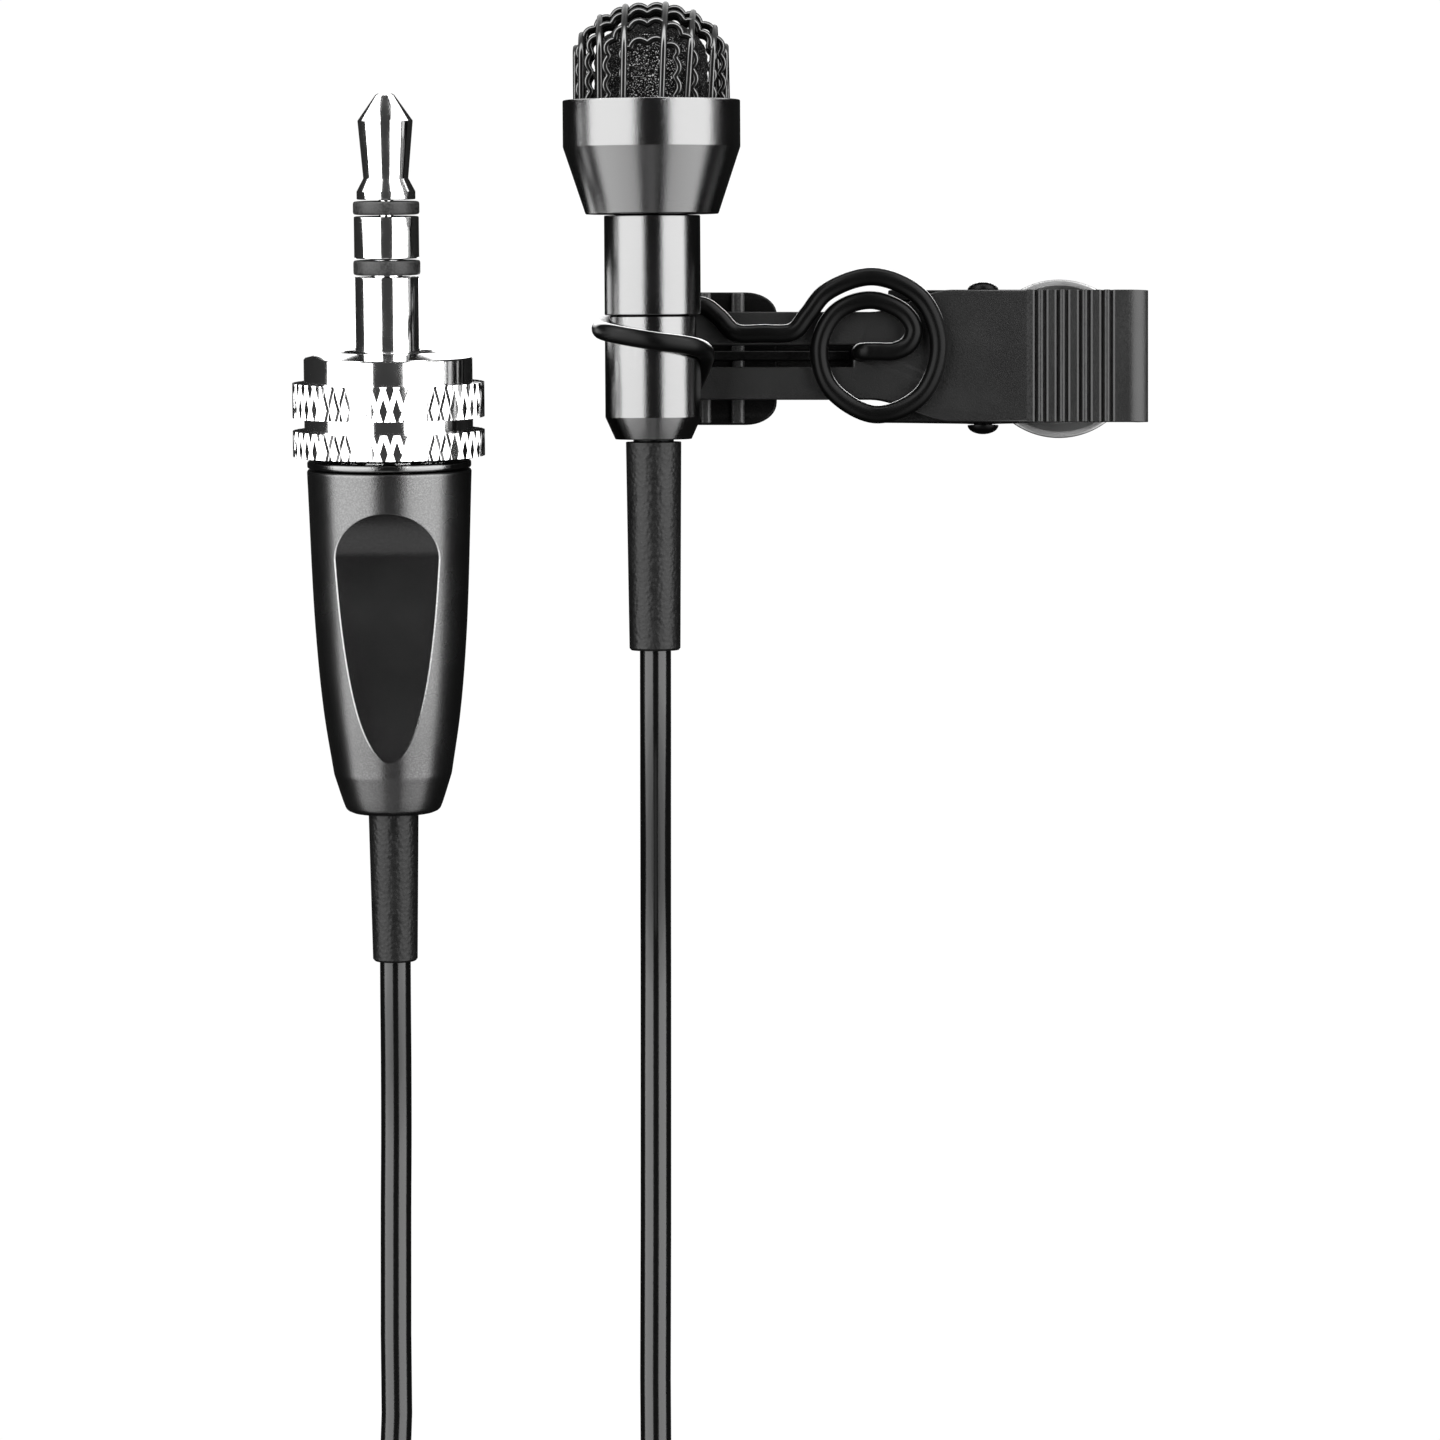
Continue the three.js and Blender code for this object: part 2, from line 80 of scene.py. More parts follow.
studio = {
    "cameraPlace": (-7.75, -20.04, 330.0),   # straight above the table, mm
    "frameWidth": 80.0,                      # what the frame covers at the table, mm
    "sensor": 36.0,
    "distance": 0.55,
    # angle from straight up towards +X, and width, in degrees
    "boxes": {"leftBox": (-54.0, 67.0), "rightBox": (53.5, 62.0)},
    # each box fades towards the cable: from, to, brightness
    "slices": ((0.9, -0.05, 5.4), (-0.05, -0.15, 4.4), (-0.15, -0.25, 3.5), (-0.25, -0.35, 2.7),
               (-0.35, -0.5, 2.1), (-0.5, -0.8, 1.3), (-0.8, -1.3, 0.5)),
    # place, width, height, brightness; each faces the microphone
    "strips": {
        "rimStrip": ((0.1, 0.6, 0.06), 1.2, 0.1, 9.0),
        "frontPanel": ((-0.02, -0.9, 0.65), 0.34, 1.0, 0.45),
    },
    "skyGrey": 0.045,
}


def addCamera():
    data = bpy.data.cameras.new("tableCamera")
    data.sensor_width = studio["sensor"]
    data.lens = studio["sensor"] * studio["cameraPlace"][2] / studio["frameWidth"]
    data.clip_start = 0.01
    data.clip_end = 5.0
    camera = bpy.data.objects.new("tableCamera", data)
    camera.location = Vector(studio["cameraPlace"]) * mm
    scene.collection.objects.link(camera)
    scene.camera = camera


# a flat panel of light at the given place, facing the microphone
def addPanel(name, place, turn, width, length, brightness):
    data = bpy.data.lights.new(name, "AREA")
    data.shape = "RECTANGLE"
    data.size = width
    data.size_y = length
    data.energy = brightness * math.pi * width * length
    light = bpy.data.objects.new(name, data)
    light.location = place
    light.rotation_euler = turn
    scene.collection.objects.link(light)


def addLights():
    distance = studio["distance"]
    for name, (angle, spread) in studio["boxes"].items():
        lean = math.radians(angle)
        width = 2 * distance * math.tan(math.radians(spread / 2))
        for far, near, brightness in studio["slices"]:
            place = (distance * math.sin(lean), (near + far) / 2, distance * math.cos(lean))
            addPanel(name, place, (0, lean, 0), width, far - near, brightness)
    for name, (place, width, height, brightness) in studio["strips"].items():
        addPanel(name, place, (-math.atan2(place[1], place[2]), 0, 0), width, height, brightness)


def addSky():
    world = bpy.data.worlds.new("studioSky")
    world.use_nodes = True
    tone = studio["skyGrey"]
    world.node_tree.nodes["Background"].inputs["Color"].default_value = (tone, tone, tone, 1)
    scene.world = world
    scene.view_settings.view_transform = "Standard"


addCamera()
addLights()
addSky()
print("camera and lights placed")


# mesh helpers: everything is drawn in millimetres and placed by a frame

def addMesh(name, verts, faces, place):
    data = bpy.data.meshes.new(name)
    data.from_pydata([place @ Vector(v) for v in verts], [], faces)
    data.validate()
    data.update()
    piece = bpy.data.objects.new(name, data)
    scene.collection.objects.link(piece)
    for polygon in data.polygons:
        polygon.use_smooth = True
    return piece


def crispFaces(piece):
    for polygon in piece.data.polygons:
        polygon.use_smooth = False


def evenNormals(piece):
    weighted = piece.modifiers.new("evenNormals", "WEIGHTED_NORMAL")
    weighted.keep_sharp = True


# rounds each inner corner of an outline of (radius, height) points by a small arc
def softCorners(outline, radius, steps=3):
    points = [Vector(p) for p in outline]
    closed = (points[0] - points[-1]).length < 1e-6
    if closed:
        points.pop()
    soft = []
    for i, corner in enumerate(points):
        if not closed and i in (0, len(points) - 1):
            soft.append(corner)
            continue
        before = points[i - 1] - corner
        after = points[(i + 1) % len(points)] - corner
        turn = before.angle(after)
        reach = min(radius / max(math.tan(turn / 2), 0.05), before.length * 0.4, after.length * 0.4)
        if turn > math.radians(176):
            soft.append(corner)
            continue
        start = corner + before.normalized() * reach
        end = corner + after.normalized() * reach
        for k in range(steps + 1):
            t = k / steps
            soft.append(start * (1 - t) ** 2 + corner * 2 * t * (1 - t) + end * t * t)
    if closed:
        soft.append(soft[0])
    return soft


# a turned piece about +Y of its frame; the outside wall goes up
def turnPiece(name, outline, place, sides=96, corner=0.06):
    profile = softCorners(outline, corner) if corner else [Vector(p) for p in outline]
    closed = (profile[0] - profile[-1]).length < 1e-6
    if closed:
        profile.pop()
    verts, rings = [], []
    for point in profile:
        if point.x < 1e-6:
            rings.append([len(verts)] * sides)
            verts.append((0, point.y, 0))
            continue
        rings.append(list(range(len(verts), len(verts) + sides)))
        for k in range(sides):
            angle = 2 * math.pi * k / sides
            verts.append((point.x * math.sin(angle), point.y, point.x * math.cos(angle)))
    faces = []
    pairs = list(zip(rings, rings[1:])) + ([(rings[-1], rings[0])] if closed else [])
    for low, high in pairs:
        for k in range(sides):
            after = (k + 1) % sides
            loop = [low[k], low[after], high[after], high[k]]
            faces.append(list(dict.fromkeys(loop)))
    piece = addMesh(name, verts, [f for f in faces if len(f) > 2], place)
    evenNormals(piece)
    return piece


def tubeOutline(outer, inner, bottom, top):
    return [(inner, bottom), (outer, bottom), (outer, top), (inner, top), (inner, bottom)]


# a smooth curve through the points, sampled evenly enough for a bent wire
def smoothPath(points, perSpan=6):
    points = [Vector(p) for p in points]
    padded = [2 * points[0] - points[1], *points, 2 * points[-1] - points[-2]]
    path = []
    for a, b, c, d in zip(padded, padded[1:], padded[2:], padded[3:]):
        ta = 0.0
        tb = ta + (b - a).length ** 0.5
        tc = tb + (c - b).length ** 0.5
        td = tc + (d - c).length ** 0.5
        for k in range(perSpan):
            t = tb + (tc - tb) * k / perSpan
            p = a.lerp(b, (t - ta) / (tb - ta))
            q = b.lerp(c, (t - tb) / (tc - tb))
            r = c.lerp(d, (t - tc) / (td - tc))
            s = p.lerp(q, (t - ta) / (tc - ta))
            u = q.lerp(r, (t - tb) / (td - tb))
            path.append(s.lerp(u, (t - tb) / (tc - tb)))
    return [*path, points[-1]]


# a round bar along a path, with domed ends
def barMesh(path, radius, sides=14, dome=True):
    verts, faces = [], []
    end = len(path) - 1
    tangents = [(path[min(i + 1, end)] - path[max(i - 1, 0)]).normalized() for i in range(end + 1)]
    across = tangents[0].orthogonal().normalized()
    stations = []
    for i, point in enumerate(path):
        if i:
            across = (across - tangents[i] * across.dot(tangents[i])).normalized()
        stations.append((point, tangents[i], across.copy(), radius))
    if dome:
        first, last = stations[0], stations[-1]
        caps = [(0.35, 0.94), (0.7, 0.72), (0.93, 0.38)]
        for lift, share in caps:
            stations.append((last[0] + last[1] * radius * lift, last[1], last[2], radius * share))
            stations.insert(0, (first[0] - first[1] * radius * lift, first[1], first[2], radius * share))
    for point, along, side, size in stations:
        other = along.cross(side)
        for k in range(sides):
            angle = 2 * math.pi * k / sides
            verts.append(point + side * size * math.cos(angle) + other * size * math.sin(angle))
    for i in range(len(stations) - 1):
        for k in range(sides):
            after = (k + 1) % sides
            low, high = i * sides, (i + 1) * sides
            faces.append((low + k, low + after, high + after, high + k))
    faces.append(tuple(reversed(range(sides))))
    faces.append(tuple(range(len(verts) - sides, len(verts))))
    return verts, faces


def barPiece(name, paths, radius, place, sides=14, dome=True):
    verts, faces = [], []
    for path in paths:
        more, moreFaces = barMesh(path, radius, sides, dome)
        faces += [tuple(v + len(verts) for v in face) for face in moreFaces]
        verts += more
    return addMesh(name, verts, faces, place)


# a flat plate from outlines in its own XY, rounded at its edges; extra outlines are holes
def platePiece(name, outlines, low, high, place, edge=0.08):
    data = bpy.data.curves.new(name, "CURVE")
    data.dimensions = "2D"
    data.fill_mode = "BOTH"
    data.extrude = (high - low) / 2 - edge
    data.bevel_depth = edge
    data.bevel_resolution = 2
    data.offset = -edge
    for outline in outlines:
        spline = data.splines.new("POLY")
        spline.points.add(len(outline) - 1)
        for point, place2d in zip(spline.points, outline):
            point.co = (place2d[0], place2d[1], 0, 1)
        spline.use_cyclic_u = True
    holder = bpy.data.objects.new(name + "Outline", data)
    scene.collection.objects.link(holder)
    bpy.context.view_layer.update()
    mesh = bpy.data.meshes.new_from_object(holder.evaluated_get(bpy.context.evaluated_depsgraph_get()))
    bpy.data.objects.remove(holder)
    build = bmesh.new()
    build.from_mesh(mesh)
    bmesh.ops.remove_doubles(build, verts=build.verts, dist=1e-4)
    bmesh.ops.recalc_face_normals(build, faces=build.faces)
    build.to_mesh(mesh)
    build.free()
    mesh.transform(place @ Matrix.Translation((0, 0, (low + high) / 2)))
    mesh.name = name
    piece = bpy.data.objects.new(name, mesh)
    scene.collection.objects.link(piece)
    for polygon in mesh.polygons:
        polygon.use_smooth = True
    return piece


# stands a plate on edge: its own XY becomes the clip's XZ, and its thickness runs along Y
edgeways = Matrix(((1, 0, 0, 0), (0, 0, -1, 0), (0, 1, 0, 0), (0, 0, 0, 1)))


# joins pieces into one; those in the second list take its second finish, which on both levers is the darker
# copy of the paint: painted shade
def mergePieces(name, pieces, inner=()):
    build = bmesh.new()
    for piece in [*pieces, *inner]:
        for polygon in piece.data.polygons:
            polygon.material_index = int(piece in inner)
        build.from_mesh(piece.data)
    whole = bpy.data.meshes.new(name)
    build.to_mesh(whole)
    build.free()
    for piece in [*pieces, *inner]:
        bpy.data.objects.remove(piece)
    merged = bpy.data.objects.new(name, whole)
    scene.collection.objects.link(merged)
    evenNormals(merged)
    return merged


def cutPiece(piece, tool):
    cutter = piece.modifiers.new("cut", "BOOLEAN")
    cutter.operation = "DIFFERENCE"
    cutter.solver = "EXACT"
    cutter.object = tool
    bpy.context.view_layer.update()
    result = bpy.data.meshes.new_from_object(piece.evaluated_get(bpy.context.evaluated_depsgraph_get()))
    piece.modifiers.remove(cutter)
    piece.data = result
    bpy.data.objects.remove(tool)
    return piece


def arcPoints(centreX, centreY, radius, start, end, steps):
    angles = [math.radians(start + (end - start) * k / steps) for k in range(steps + 1)]
    return [(centreX + radius * math.cos(a), centreY + radius * math.sin(a)) for a in angles]


def boxOutline(x0, x1, y0, y1):
    return [(x0, y0), (x1, y0), (x1, y1), (x0, y1)]


# shared effects as node groups

def link(tree, source, target):
    tree.links.new(source, target)


def newGroup(name, inputs, outputs):
    group = bpy.data.node_groups.new(name, "ShaderNodeTree")
    for label, kind, value in inputs:
        socket = group.interface.new_socket(label, in_out="INPUT", socket_type=kind)
        socket.default_value = value
    for label, kind in outputs:
        group.interface.new_socket(label, in_out="OUTPUT", socket_type=kind)
    return group, group.nodes.new("NodeGroupInput"), group.nodes.new("NodeGroupOutput")


def feed(tree, value, socket):
    if isinstance(value, (int, float)):
        socket.default_value = value
    else:
        link(tree, value, socket)


def mathNode(tree, operation, first, second=0.0):
    node = tree.nodes.new("ShaderNodeMath")
    node.operation = operation
    feed(tree, first, node.inputs[0])
    feed(tree, second, node.inputs[1])
    return node.outputs[0]


def rangeNode(tree, value, low, high, outLow=0.0, outHigh=1.0):
    node = tree.nodes.new("ShaderNodeMapRange")
    link(tree, value, node.inputs["Value"])
    for label, number in (("From Min", low), ("From Max", high), ("To Min", outLow), ("To Max", outHigh)):
        feed(tree, number, node.inputs[label])
    return node.outputs["Result"]


# fine grain of a given size in millimetres: a height for bump and a speckle mask
def buildGrain():
    group, given, result = newGroup(
        "fineGrain",
        [("Size", "NodeSocketFloat", 0.1), ("Stretch", "NodeSocketVector", (1, 1, 1))],
        [("Height", "NodeSocketFloat"), ("Speckle", "NodeSocketFloat")])
    spot = group.nodes.new("ShaderNodeTexCoord")
    scaled = group.nodes.new("ShaderNodeVectorMath")
    scaled.operation = "MULTIPLY"
    link(group, spot.outputs["Object"], scaled.inputs[0])
    link(group, given.outputs["Stretch"], scaled.inputs[1])
    grain = group.nodes.new("ShaderNodeTexNoise")
    grain.inputs["Detail"].default_value = 2.0
    link(group, scaled.outputs[0], grain.inputs["Vector"])
    link(group, mathNode(group, "DIVIDE", 1 / mm, given.outputs["Size"]), grain.inputs["Scale"])
    link(group, grain.outputs["Fac"], result.inputs["Height"])
    link(group, rangeNode(group, grain.outputs["Fac"], 0.4, 0.66), result.inputs["Speckle"])
    return group


# leathery cells, as on moulded rubber
def buildPebble():
    group, given, result = newGroup(
        "pebbleSkin", [("Size", "NodeSocketFloat", 0.3)],
        [("Height", "NodeSocketFloat"), ("Crease", "NodeSocketFloat")])
    spot = group.nodes.new("ShaderNodeTexCoord")
    cells = group.nodes.new("ShaderNodeTexVoronoi")
    cells.feature = "SMOOTH_F1"
    link(group, spot.outputs["Object"], cells.inputs["Vector"])
    link(group, mathNode(group, "DIVIDE", 1 / mm, given.outputs["Size"]), cells.inputs["Scale"])
    link(group, rangeNode(group, cells.outputs["Distance"], 0.0, 0.75, 1.0, 0.0), result.inputs["Height"])
    link(group, rangeNode(group, cells.outputs["Distance"], 0.4, 0.75), result.inputs["Crease"])
    return group


# soft patches of handling marks, for roughness and tone
def buildMarks():
    group, given, result = newGroup(
        "handlingMarks", [("Size", "NodeSocketFloat", 4.0)], [("Mask", "NodeSocketFloat")])
    spot = group.nodes.new("ShaderNodeTexCoord")
    cloud = group.nodes.new("ShaderNodeTexNoise")
    cloud.inputs["Detail"].default_value = 3.0
    link(group, spot.outputs["Object"], cloud.inputs["Vector"])
    link(group, mathNode(group, "DIVIDE", 1 / mm, given.outputs["Size"]), cloud.inputs["Scale"])
    link(group, rangeNode(group, cloud.outputs["Fac"], 0.35, 0.7), result.inputs["Mask"])
    return group


# where the finish has rubbed thin on the outer edges
def buildEdgeWear():
    group, given, result = newGroup(
        "edgeWear", [("Grain Size", "NodeSocketFloat", 0.2)], [("Mask", "NodeSocketFloat")])
    shape = group.nodes.new("ShaderNodeNewGeometry")
    spot = group.nodes.new("ShaderNodeTexCoord")
    chips = group.nodes.new("ShaderNodeTexNoise")
    link(group, spot.outputs["Object"], chips.inputs["Vector"])
    link(group, mathNode(group, "DIVIDE", 1 / mm, given.outputs["Grain Size"]), chips.inputs["Scale"])
    edge = rangeNode(group, shape.outputs["Pointiness"], 0.53, 0.62)
    link(group, mathNode(group, "MULTIPLY", edge, rangeNode(group, chips.outputs["Fac"], 0.3, 0.6)),
         result.inputs["Mask"])
    return group


# how far a surface leans towards a direction
def buildTowards():
    group, given, result = newGroup(
        "towards",
        [("Direction", "NodeSocketVector", (0, 1, 0)), ("Low", "NodeSocketFloat", 0.2),
         ("High", "NodeSocketFloat", 0.7)],
        [("Mask", "NodeSocketFloat")])
    shape = group.nodes.new("ShaderNodeNewGeometry")
    lean = group.nodes.new("ShaderNodeVectorMath")
    lean.operation = "DOT_PRODUCT"
    link(group, shape.outputs["Normal"], lean.inputs[0])
    link(group, given.outputs["Direction"], lean.inputs[1])
    link(group, rangeNode(group, lean.outputs["Value"], given.outputs["Low"], given.outputs["High"]),
         result.inputs["Mask"])
    return group


effects = {
    "grain": buildGrain(), "pebble": buildPebble(), "marks": buildMarks(), "wear": buildEdgeWear(),
    "towards": buildTowards(),
}


def addEffect(material, effect, **values):
    node = material.node_tree.nodes.new("ShaderNodeGroup")
    node.node_tree = effects[effect]
    for label, value in values.items():
        node.inputs[label.replace("_", " ")].default_value = value
    return node


def newMaterial(name, **values):
    material = bpy.data.materials.new(name)
    material.use_nodes = True
    shader = material.node_tree.nodes["Principled BSDF"]
    for label, value in values.items():
        shader.inputs[label.replace("_", " ")].default_value = value
    return material, shader


def grey(value):
    return (value, value, value, 1)


def blendColours(material, mask, first, second, shader, socket="Base Color"):
    mix = material.node_tree.nodes.new("ShaderNodeMix")
    mix.data_type = "RGBA"
    link(material.node_tree, mask, mix.inputs["Factor"])
    mix.inputs["A"].default_value = first
    mix.inputs["B"].default_value = second
    link(material.node_tree, mix.outputs["Result"], shader.inputs[socket])
    return mix


def varyRoughness(material, shader, value, low, high, span=(0, 1)):
    rough = rangeNode(material.node_tree, value, *span, low, high)
    link(material.node_tree, rough, shader.inputs["Roughness"])


def addBump(material, shader, height, strength, distance):
    bump = material.node_tree.nodes.new("ShaderNodeBump")
    bump.inputs["Strength"].default_value = strength
    bump.inputs["Distance"].default_value = distance * mm
    link(material.node_tree, height, bump.inputs["Height"])
    link(material.node_tree, bump.outputs["Normal"], shader.inputs["Normal"])


# a mask that rises as a surface turns edge-on to the eye
def edgeOn(material, low, high):
    weight = material.node_tree.nodes.new("ShaderNodeLayerWeight")
    weight.inputs["Blend"].default_value = 0.5
    return rangeNode(material.node_tree, weight.outputs["Facing"], low, high)


# finishes, one function each

def satinBlackMetal(name="satinBlackMetal", tone=0.14, roughness=(0.13, 0.18), grainSize=0.07, worn=True):
    material, shader = newMaterial(name, Metallic=1.0)
    grain = addEffect(material, "grain", Size=grainSize)
    marks = addEffect(material, "marks", Size=5.0)
    if worn:
        wear = addEffect(material, "wear", Grain_Size=0.15)
        blendColours(material, wear.outputs["Mask"], grey(tone), grey(tone * 2.2), shader)
    else:
        blendColours(material, grain.outputs["Speckle"], grey(tone * 0.9), grey(tone * 1.15), shader)
    varyRoughness(material, shader, marks.outputs["Mask"], *roughness)
    addBump(material, shader, grain.outputs["Height"], 0.5, 0.014)
    return material


def paintedSteel(name="paintedSteel", tone=0.0022, shine=0.42):
    material, shader = newMaterial(name, Specular_IOR_Level=shine)
    grain = addEffect(material, "grain", Size=0.09)
    marks = addEffect(material, "marks", Size=3.0)
    wear = addEffect(material, "wear", Grain_Size=0.12)
    blendColours(material, wear.outputs["Mask"], grey(tone), grey(tone * 6), shader)
    varyRoughness(material, shader, marks.outputs["Mask"], 0.34, 0.38)
    addBump(material, shader, grain.outputs["Height"], 0.5, 0.02)
    return material


# black lacquer with a painted highlight: a thin light line is painted into its colour where the wire turns
# edge-on on its +Y side
def coatedWire():
    material, shader = newMaterial("coatedWire", Specular_IOR_Level=0.09)
    grain = addEffect(material, "grain", Size=0.12)
    marks = addEffect(material, "marks", Size=2.0)
    far = addEffect(material, "towards", Low=0.3, High=0.8)
    # painted highlight: where the wire faces +Y and turns edge-on, the colour is lightened to grey 0.85
    rim = mathNode(material.node_tree, "MULTIPLY", far.outputs["Mask"], edgeOn(material, 0.66, 0.8))
    blendColours(material, rim, grey(0.0012), grey(0.85), shader)
    varyRoughness(material, shader, marks.outputs["Mask"], 0.28, 0.36)
    addBump(material, shader, grain.outputs["Height"], 0.12, 0.01)
    return material


# black woven wire with a painted highlight: a thin light line is painted into its colour along each flank
def meshWire():
    material, shader = newMaterial("meshWire", Specular_IOR_Level=0.1)
    tree = material.node_tree
    grain = addEffect(material, "grain", Size=0.12)
    far = addEffect(material, "towards", Low=-0.4, High=-0.1)
    flank = mathNode(tree, "MULTIPLY", edgeOn(material, 0.07, 0.12), edgeOn(material, 0.3, 0.2))
    # painted highlight: the flank band, except where the wire faces -Y, lightens the colour to grey 0.19
    lines = mathNode(tree, "MULTIPLY", flank, far.outputs["Mask"])
    blendColours(material, lines, grey(0.001), grey(0.19), shader)
    varyRoughness(material, shader, grain.outputs["Height"], 0.3, 0.4, (0.3, 0.7))
    addBump(material, shader, grain.outputs["Height"], 0.12, 0.01)
    return material


def nickelPlate(name="nickelPlate", tone=0.9, roughness=(0.07, 0.14)):
    material, shader = newMaterial(name, Metallic=1.0)
    grain = addEffect(material, "grain", Size=0.3, Stretch=(1, 4, 1))
    marks = addEffect(material, "marks", Size=1.5)
    blendColours(material, marks.outputs["Mask"], grey(tone), grey(tone * 0.93), shader)
    varyRoughness(material, shader, marks.outputs["Mask"], *roughness)
    addBump(material, shader, grain.outputs["Height"], 0.05, 0.004)
    return material


def grainedRubber():
    material, shader = newMaterial("grainedRubber", Specular_IOR_Level=0.24)
    skin = addEffect(material, "pebble", Size=0.2)
    marks = addEffect(material, "marks", Size=2.5)
    # painted shade: the creases between the cells are painted darker
    blendColours(material, skin.outputs["Crease"], grey(0.003), grey(0.001), shader)
    varyRoughness(material, shader, marks.outputs["Mask"], 0.36, 0.44)
    addBump(material, shader, skin.outputs["Height"], 0.7, 0.03)
    return material


def cableJacket():
    material, shader = newMaterial("cableJacket", Specular_IOR_Level=0.5)
    grain = addEffect(material, "grain", Size=0.08)
    marks = addEffect(material, "marks", Size=6.0)
    blendColours(material, marks.outputs["Mask"], grey(0.0014), grey(0.002), shader)
    varyRoughness(material, shader, grain.outputs["Height"], 0.12, 0.18, (0.3, 0.7))
    addBump(material, shader, grain.outputs["Height"], 0.12, 0.008)
    return material


def acousticFoam():
    material, shader = newMaterial("acousticFoam", Roughness=0.95, Specular_IOR_Level=0.1)
    skin = addEffect(material, "pebble", Size=0.13)
    grain = addEffect(material, "grain", Size=0.075)
    top = addEffect(material, "towards", Direction=(0, 0, 1), Low=0.7, High=1.0)
    # painted highlights: light specks are painted into the colour, brightest where the ball faces up
    glints = rangeNode(material.node_tree, grain.outputs["Height"], 0.57, 0.68)
    share = rangeNode(material.node_tree, top.outputs["Mask"], 0, 1, 0.15, 1.0)
    bright = mathNode(material.node_tree, "MULTIPLY", glints, share)
    blendColours(material, bright, grey(0.001), grey(0.5), shader)
    addBump(material, shader, skin.outputs["Height"], 1.0, 0.08)
    return material


def mouldedPlastic():
    material, shader = newMaterial("mouldedPlastic", Specular_IOR_Level=0.4)
    grain = addEffect(material, "grain", Size=0.12)
    blendColours(material, grain.outputs["Speckle"], grey(0.003), grey(0.02), shader)
    varyRoughness(material, shader, grain.outputs["Height"], 0.4, 0.6, (0.3, 0.7))
    addBump(material, shader, grain.outputs["Height"], 0.5, 0.02)
    return material


def plainMetal(name, colour, worn, roughness):
    material, shader = newMaterial(name, Metallic=1.0, Roughness=roughness)
    grain = addEffect(material, "grain", Size=0.2, Stretch=(1, 5, 1))
    marks = addEffect(material, "marks", Size=1.2)
    blendColours(material, marks.outputs["Mask"], colour, worn, shader)
    addBump(material, shader, grain.outputs["Height"], 0.2, 0.006)
    return material


def solderMask():
    material, shader = newMaterial("solderMask", Roughness=0.35, Coat_Weight=0.3)
    grain = addEffect(material, "grain", Size=0.5)
    blendColours(material, grain.outputs["Speckle"], (0.02, 0.13, 0.05, 1), (0.03, 0.18, 0.07, 1), shader)
    addBump(material, shader, grain.outputs["Height"], 0.1, 0.01)
    return material


finishes = {
    "black_metal": satinBlackMetal(),
    "blastedMetal": satinBlackMetal("blastedMetal", 0.1, (0.24, 0.29), 0.09, False),
    "recessMetal": satinBlackMetal("recessMetal", 0.1, (0.2, 0.24), 0.09, False),
    # painted highlight: a lighter copy of the black metal for the recess rim, to show a bright line there
    "rimHighlightMetal": satinBlackMetal("rimHighlightMetal", 0.22, (0.12, 0.2), 0.09, False),
    "mesh_wire": meshWire(),
    "clip_paint": paintedSteel(),
    # painted shade: a darker copy of the clip paint for the parts that lie in shade
    "clipShadedPaint": paintedSteel("shadedPaintCopy", 0.0008, 0.12),
    # painted light: a lighter copy of the clip paint for the jaw ridges, which lie in the shade of the
    # microphone and plate
    "clipLitPaint": paintedSteel("litPaintCopy", 0.012, 0.42),
    "wire_coat": coatedWire(),
    "nickel": nickelPlate(),
    "satinNickel": nickelPlate("satinNickel", 0.4, (0.34, 0.42)),
    "rubber": grainedRubber(),
    "cable_skin": cableJacket(),
    "foam": acousticFoam(),
    "black_plastic": mouldedPlastic(),
    "brass": plainMetal("turnedBrass", (0.72, 0.52, 0.24, 1), (0.6, 0.42, 0.18, 1), 0.3),
    "copper": plainMetal("copperStrand", (0.75, 0.38, 0.2, 1), (0.62, 0.3, 0.16, 1), 0.35),
    "board": solderMask(),
    "spring_steel": plainMetal("springSteel", (0.5, 0.5, 0.51, 1), (0.4, 0.4, 0.41, 1), 0.3),
}
print("finishes ready:", len(finishes))


# gives a piece its finish, its body and the nodes that it stands for
def settle(piece, body, slot, *nodes):
    if not piece.data.materials:
        piece.data.materials.append(finishes[slot])
    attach(piece, body)
    if nodes:
        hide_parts(*nodes)
    return piece


# floor

paper = {
    "size": 3.0,                  # half its width, m
    "drop": 0.05,                 # how far it lies below zero, mm
    "glow": 1.02,
    # the polished parts see it lit only beyond a line and in a patch before the locking ring, mm
    "litBeyond": 21.0,
    "patchCentre": (-25.66, 2.8),
    "patchHalf": (4.8, 2.2),
    "litStrength": 2.2,
}


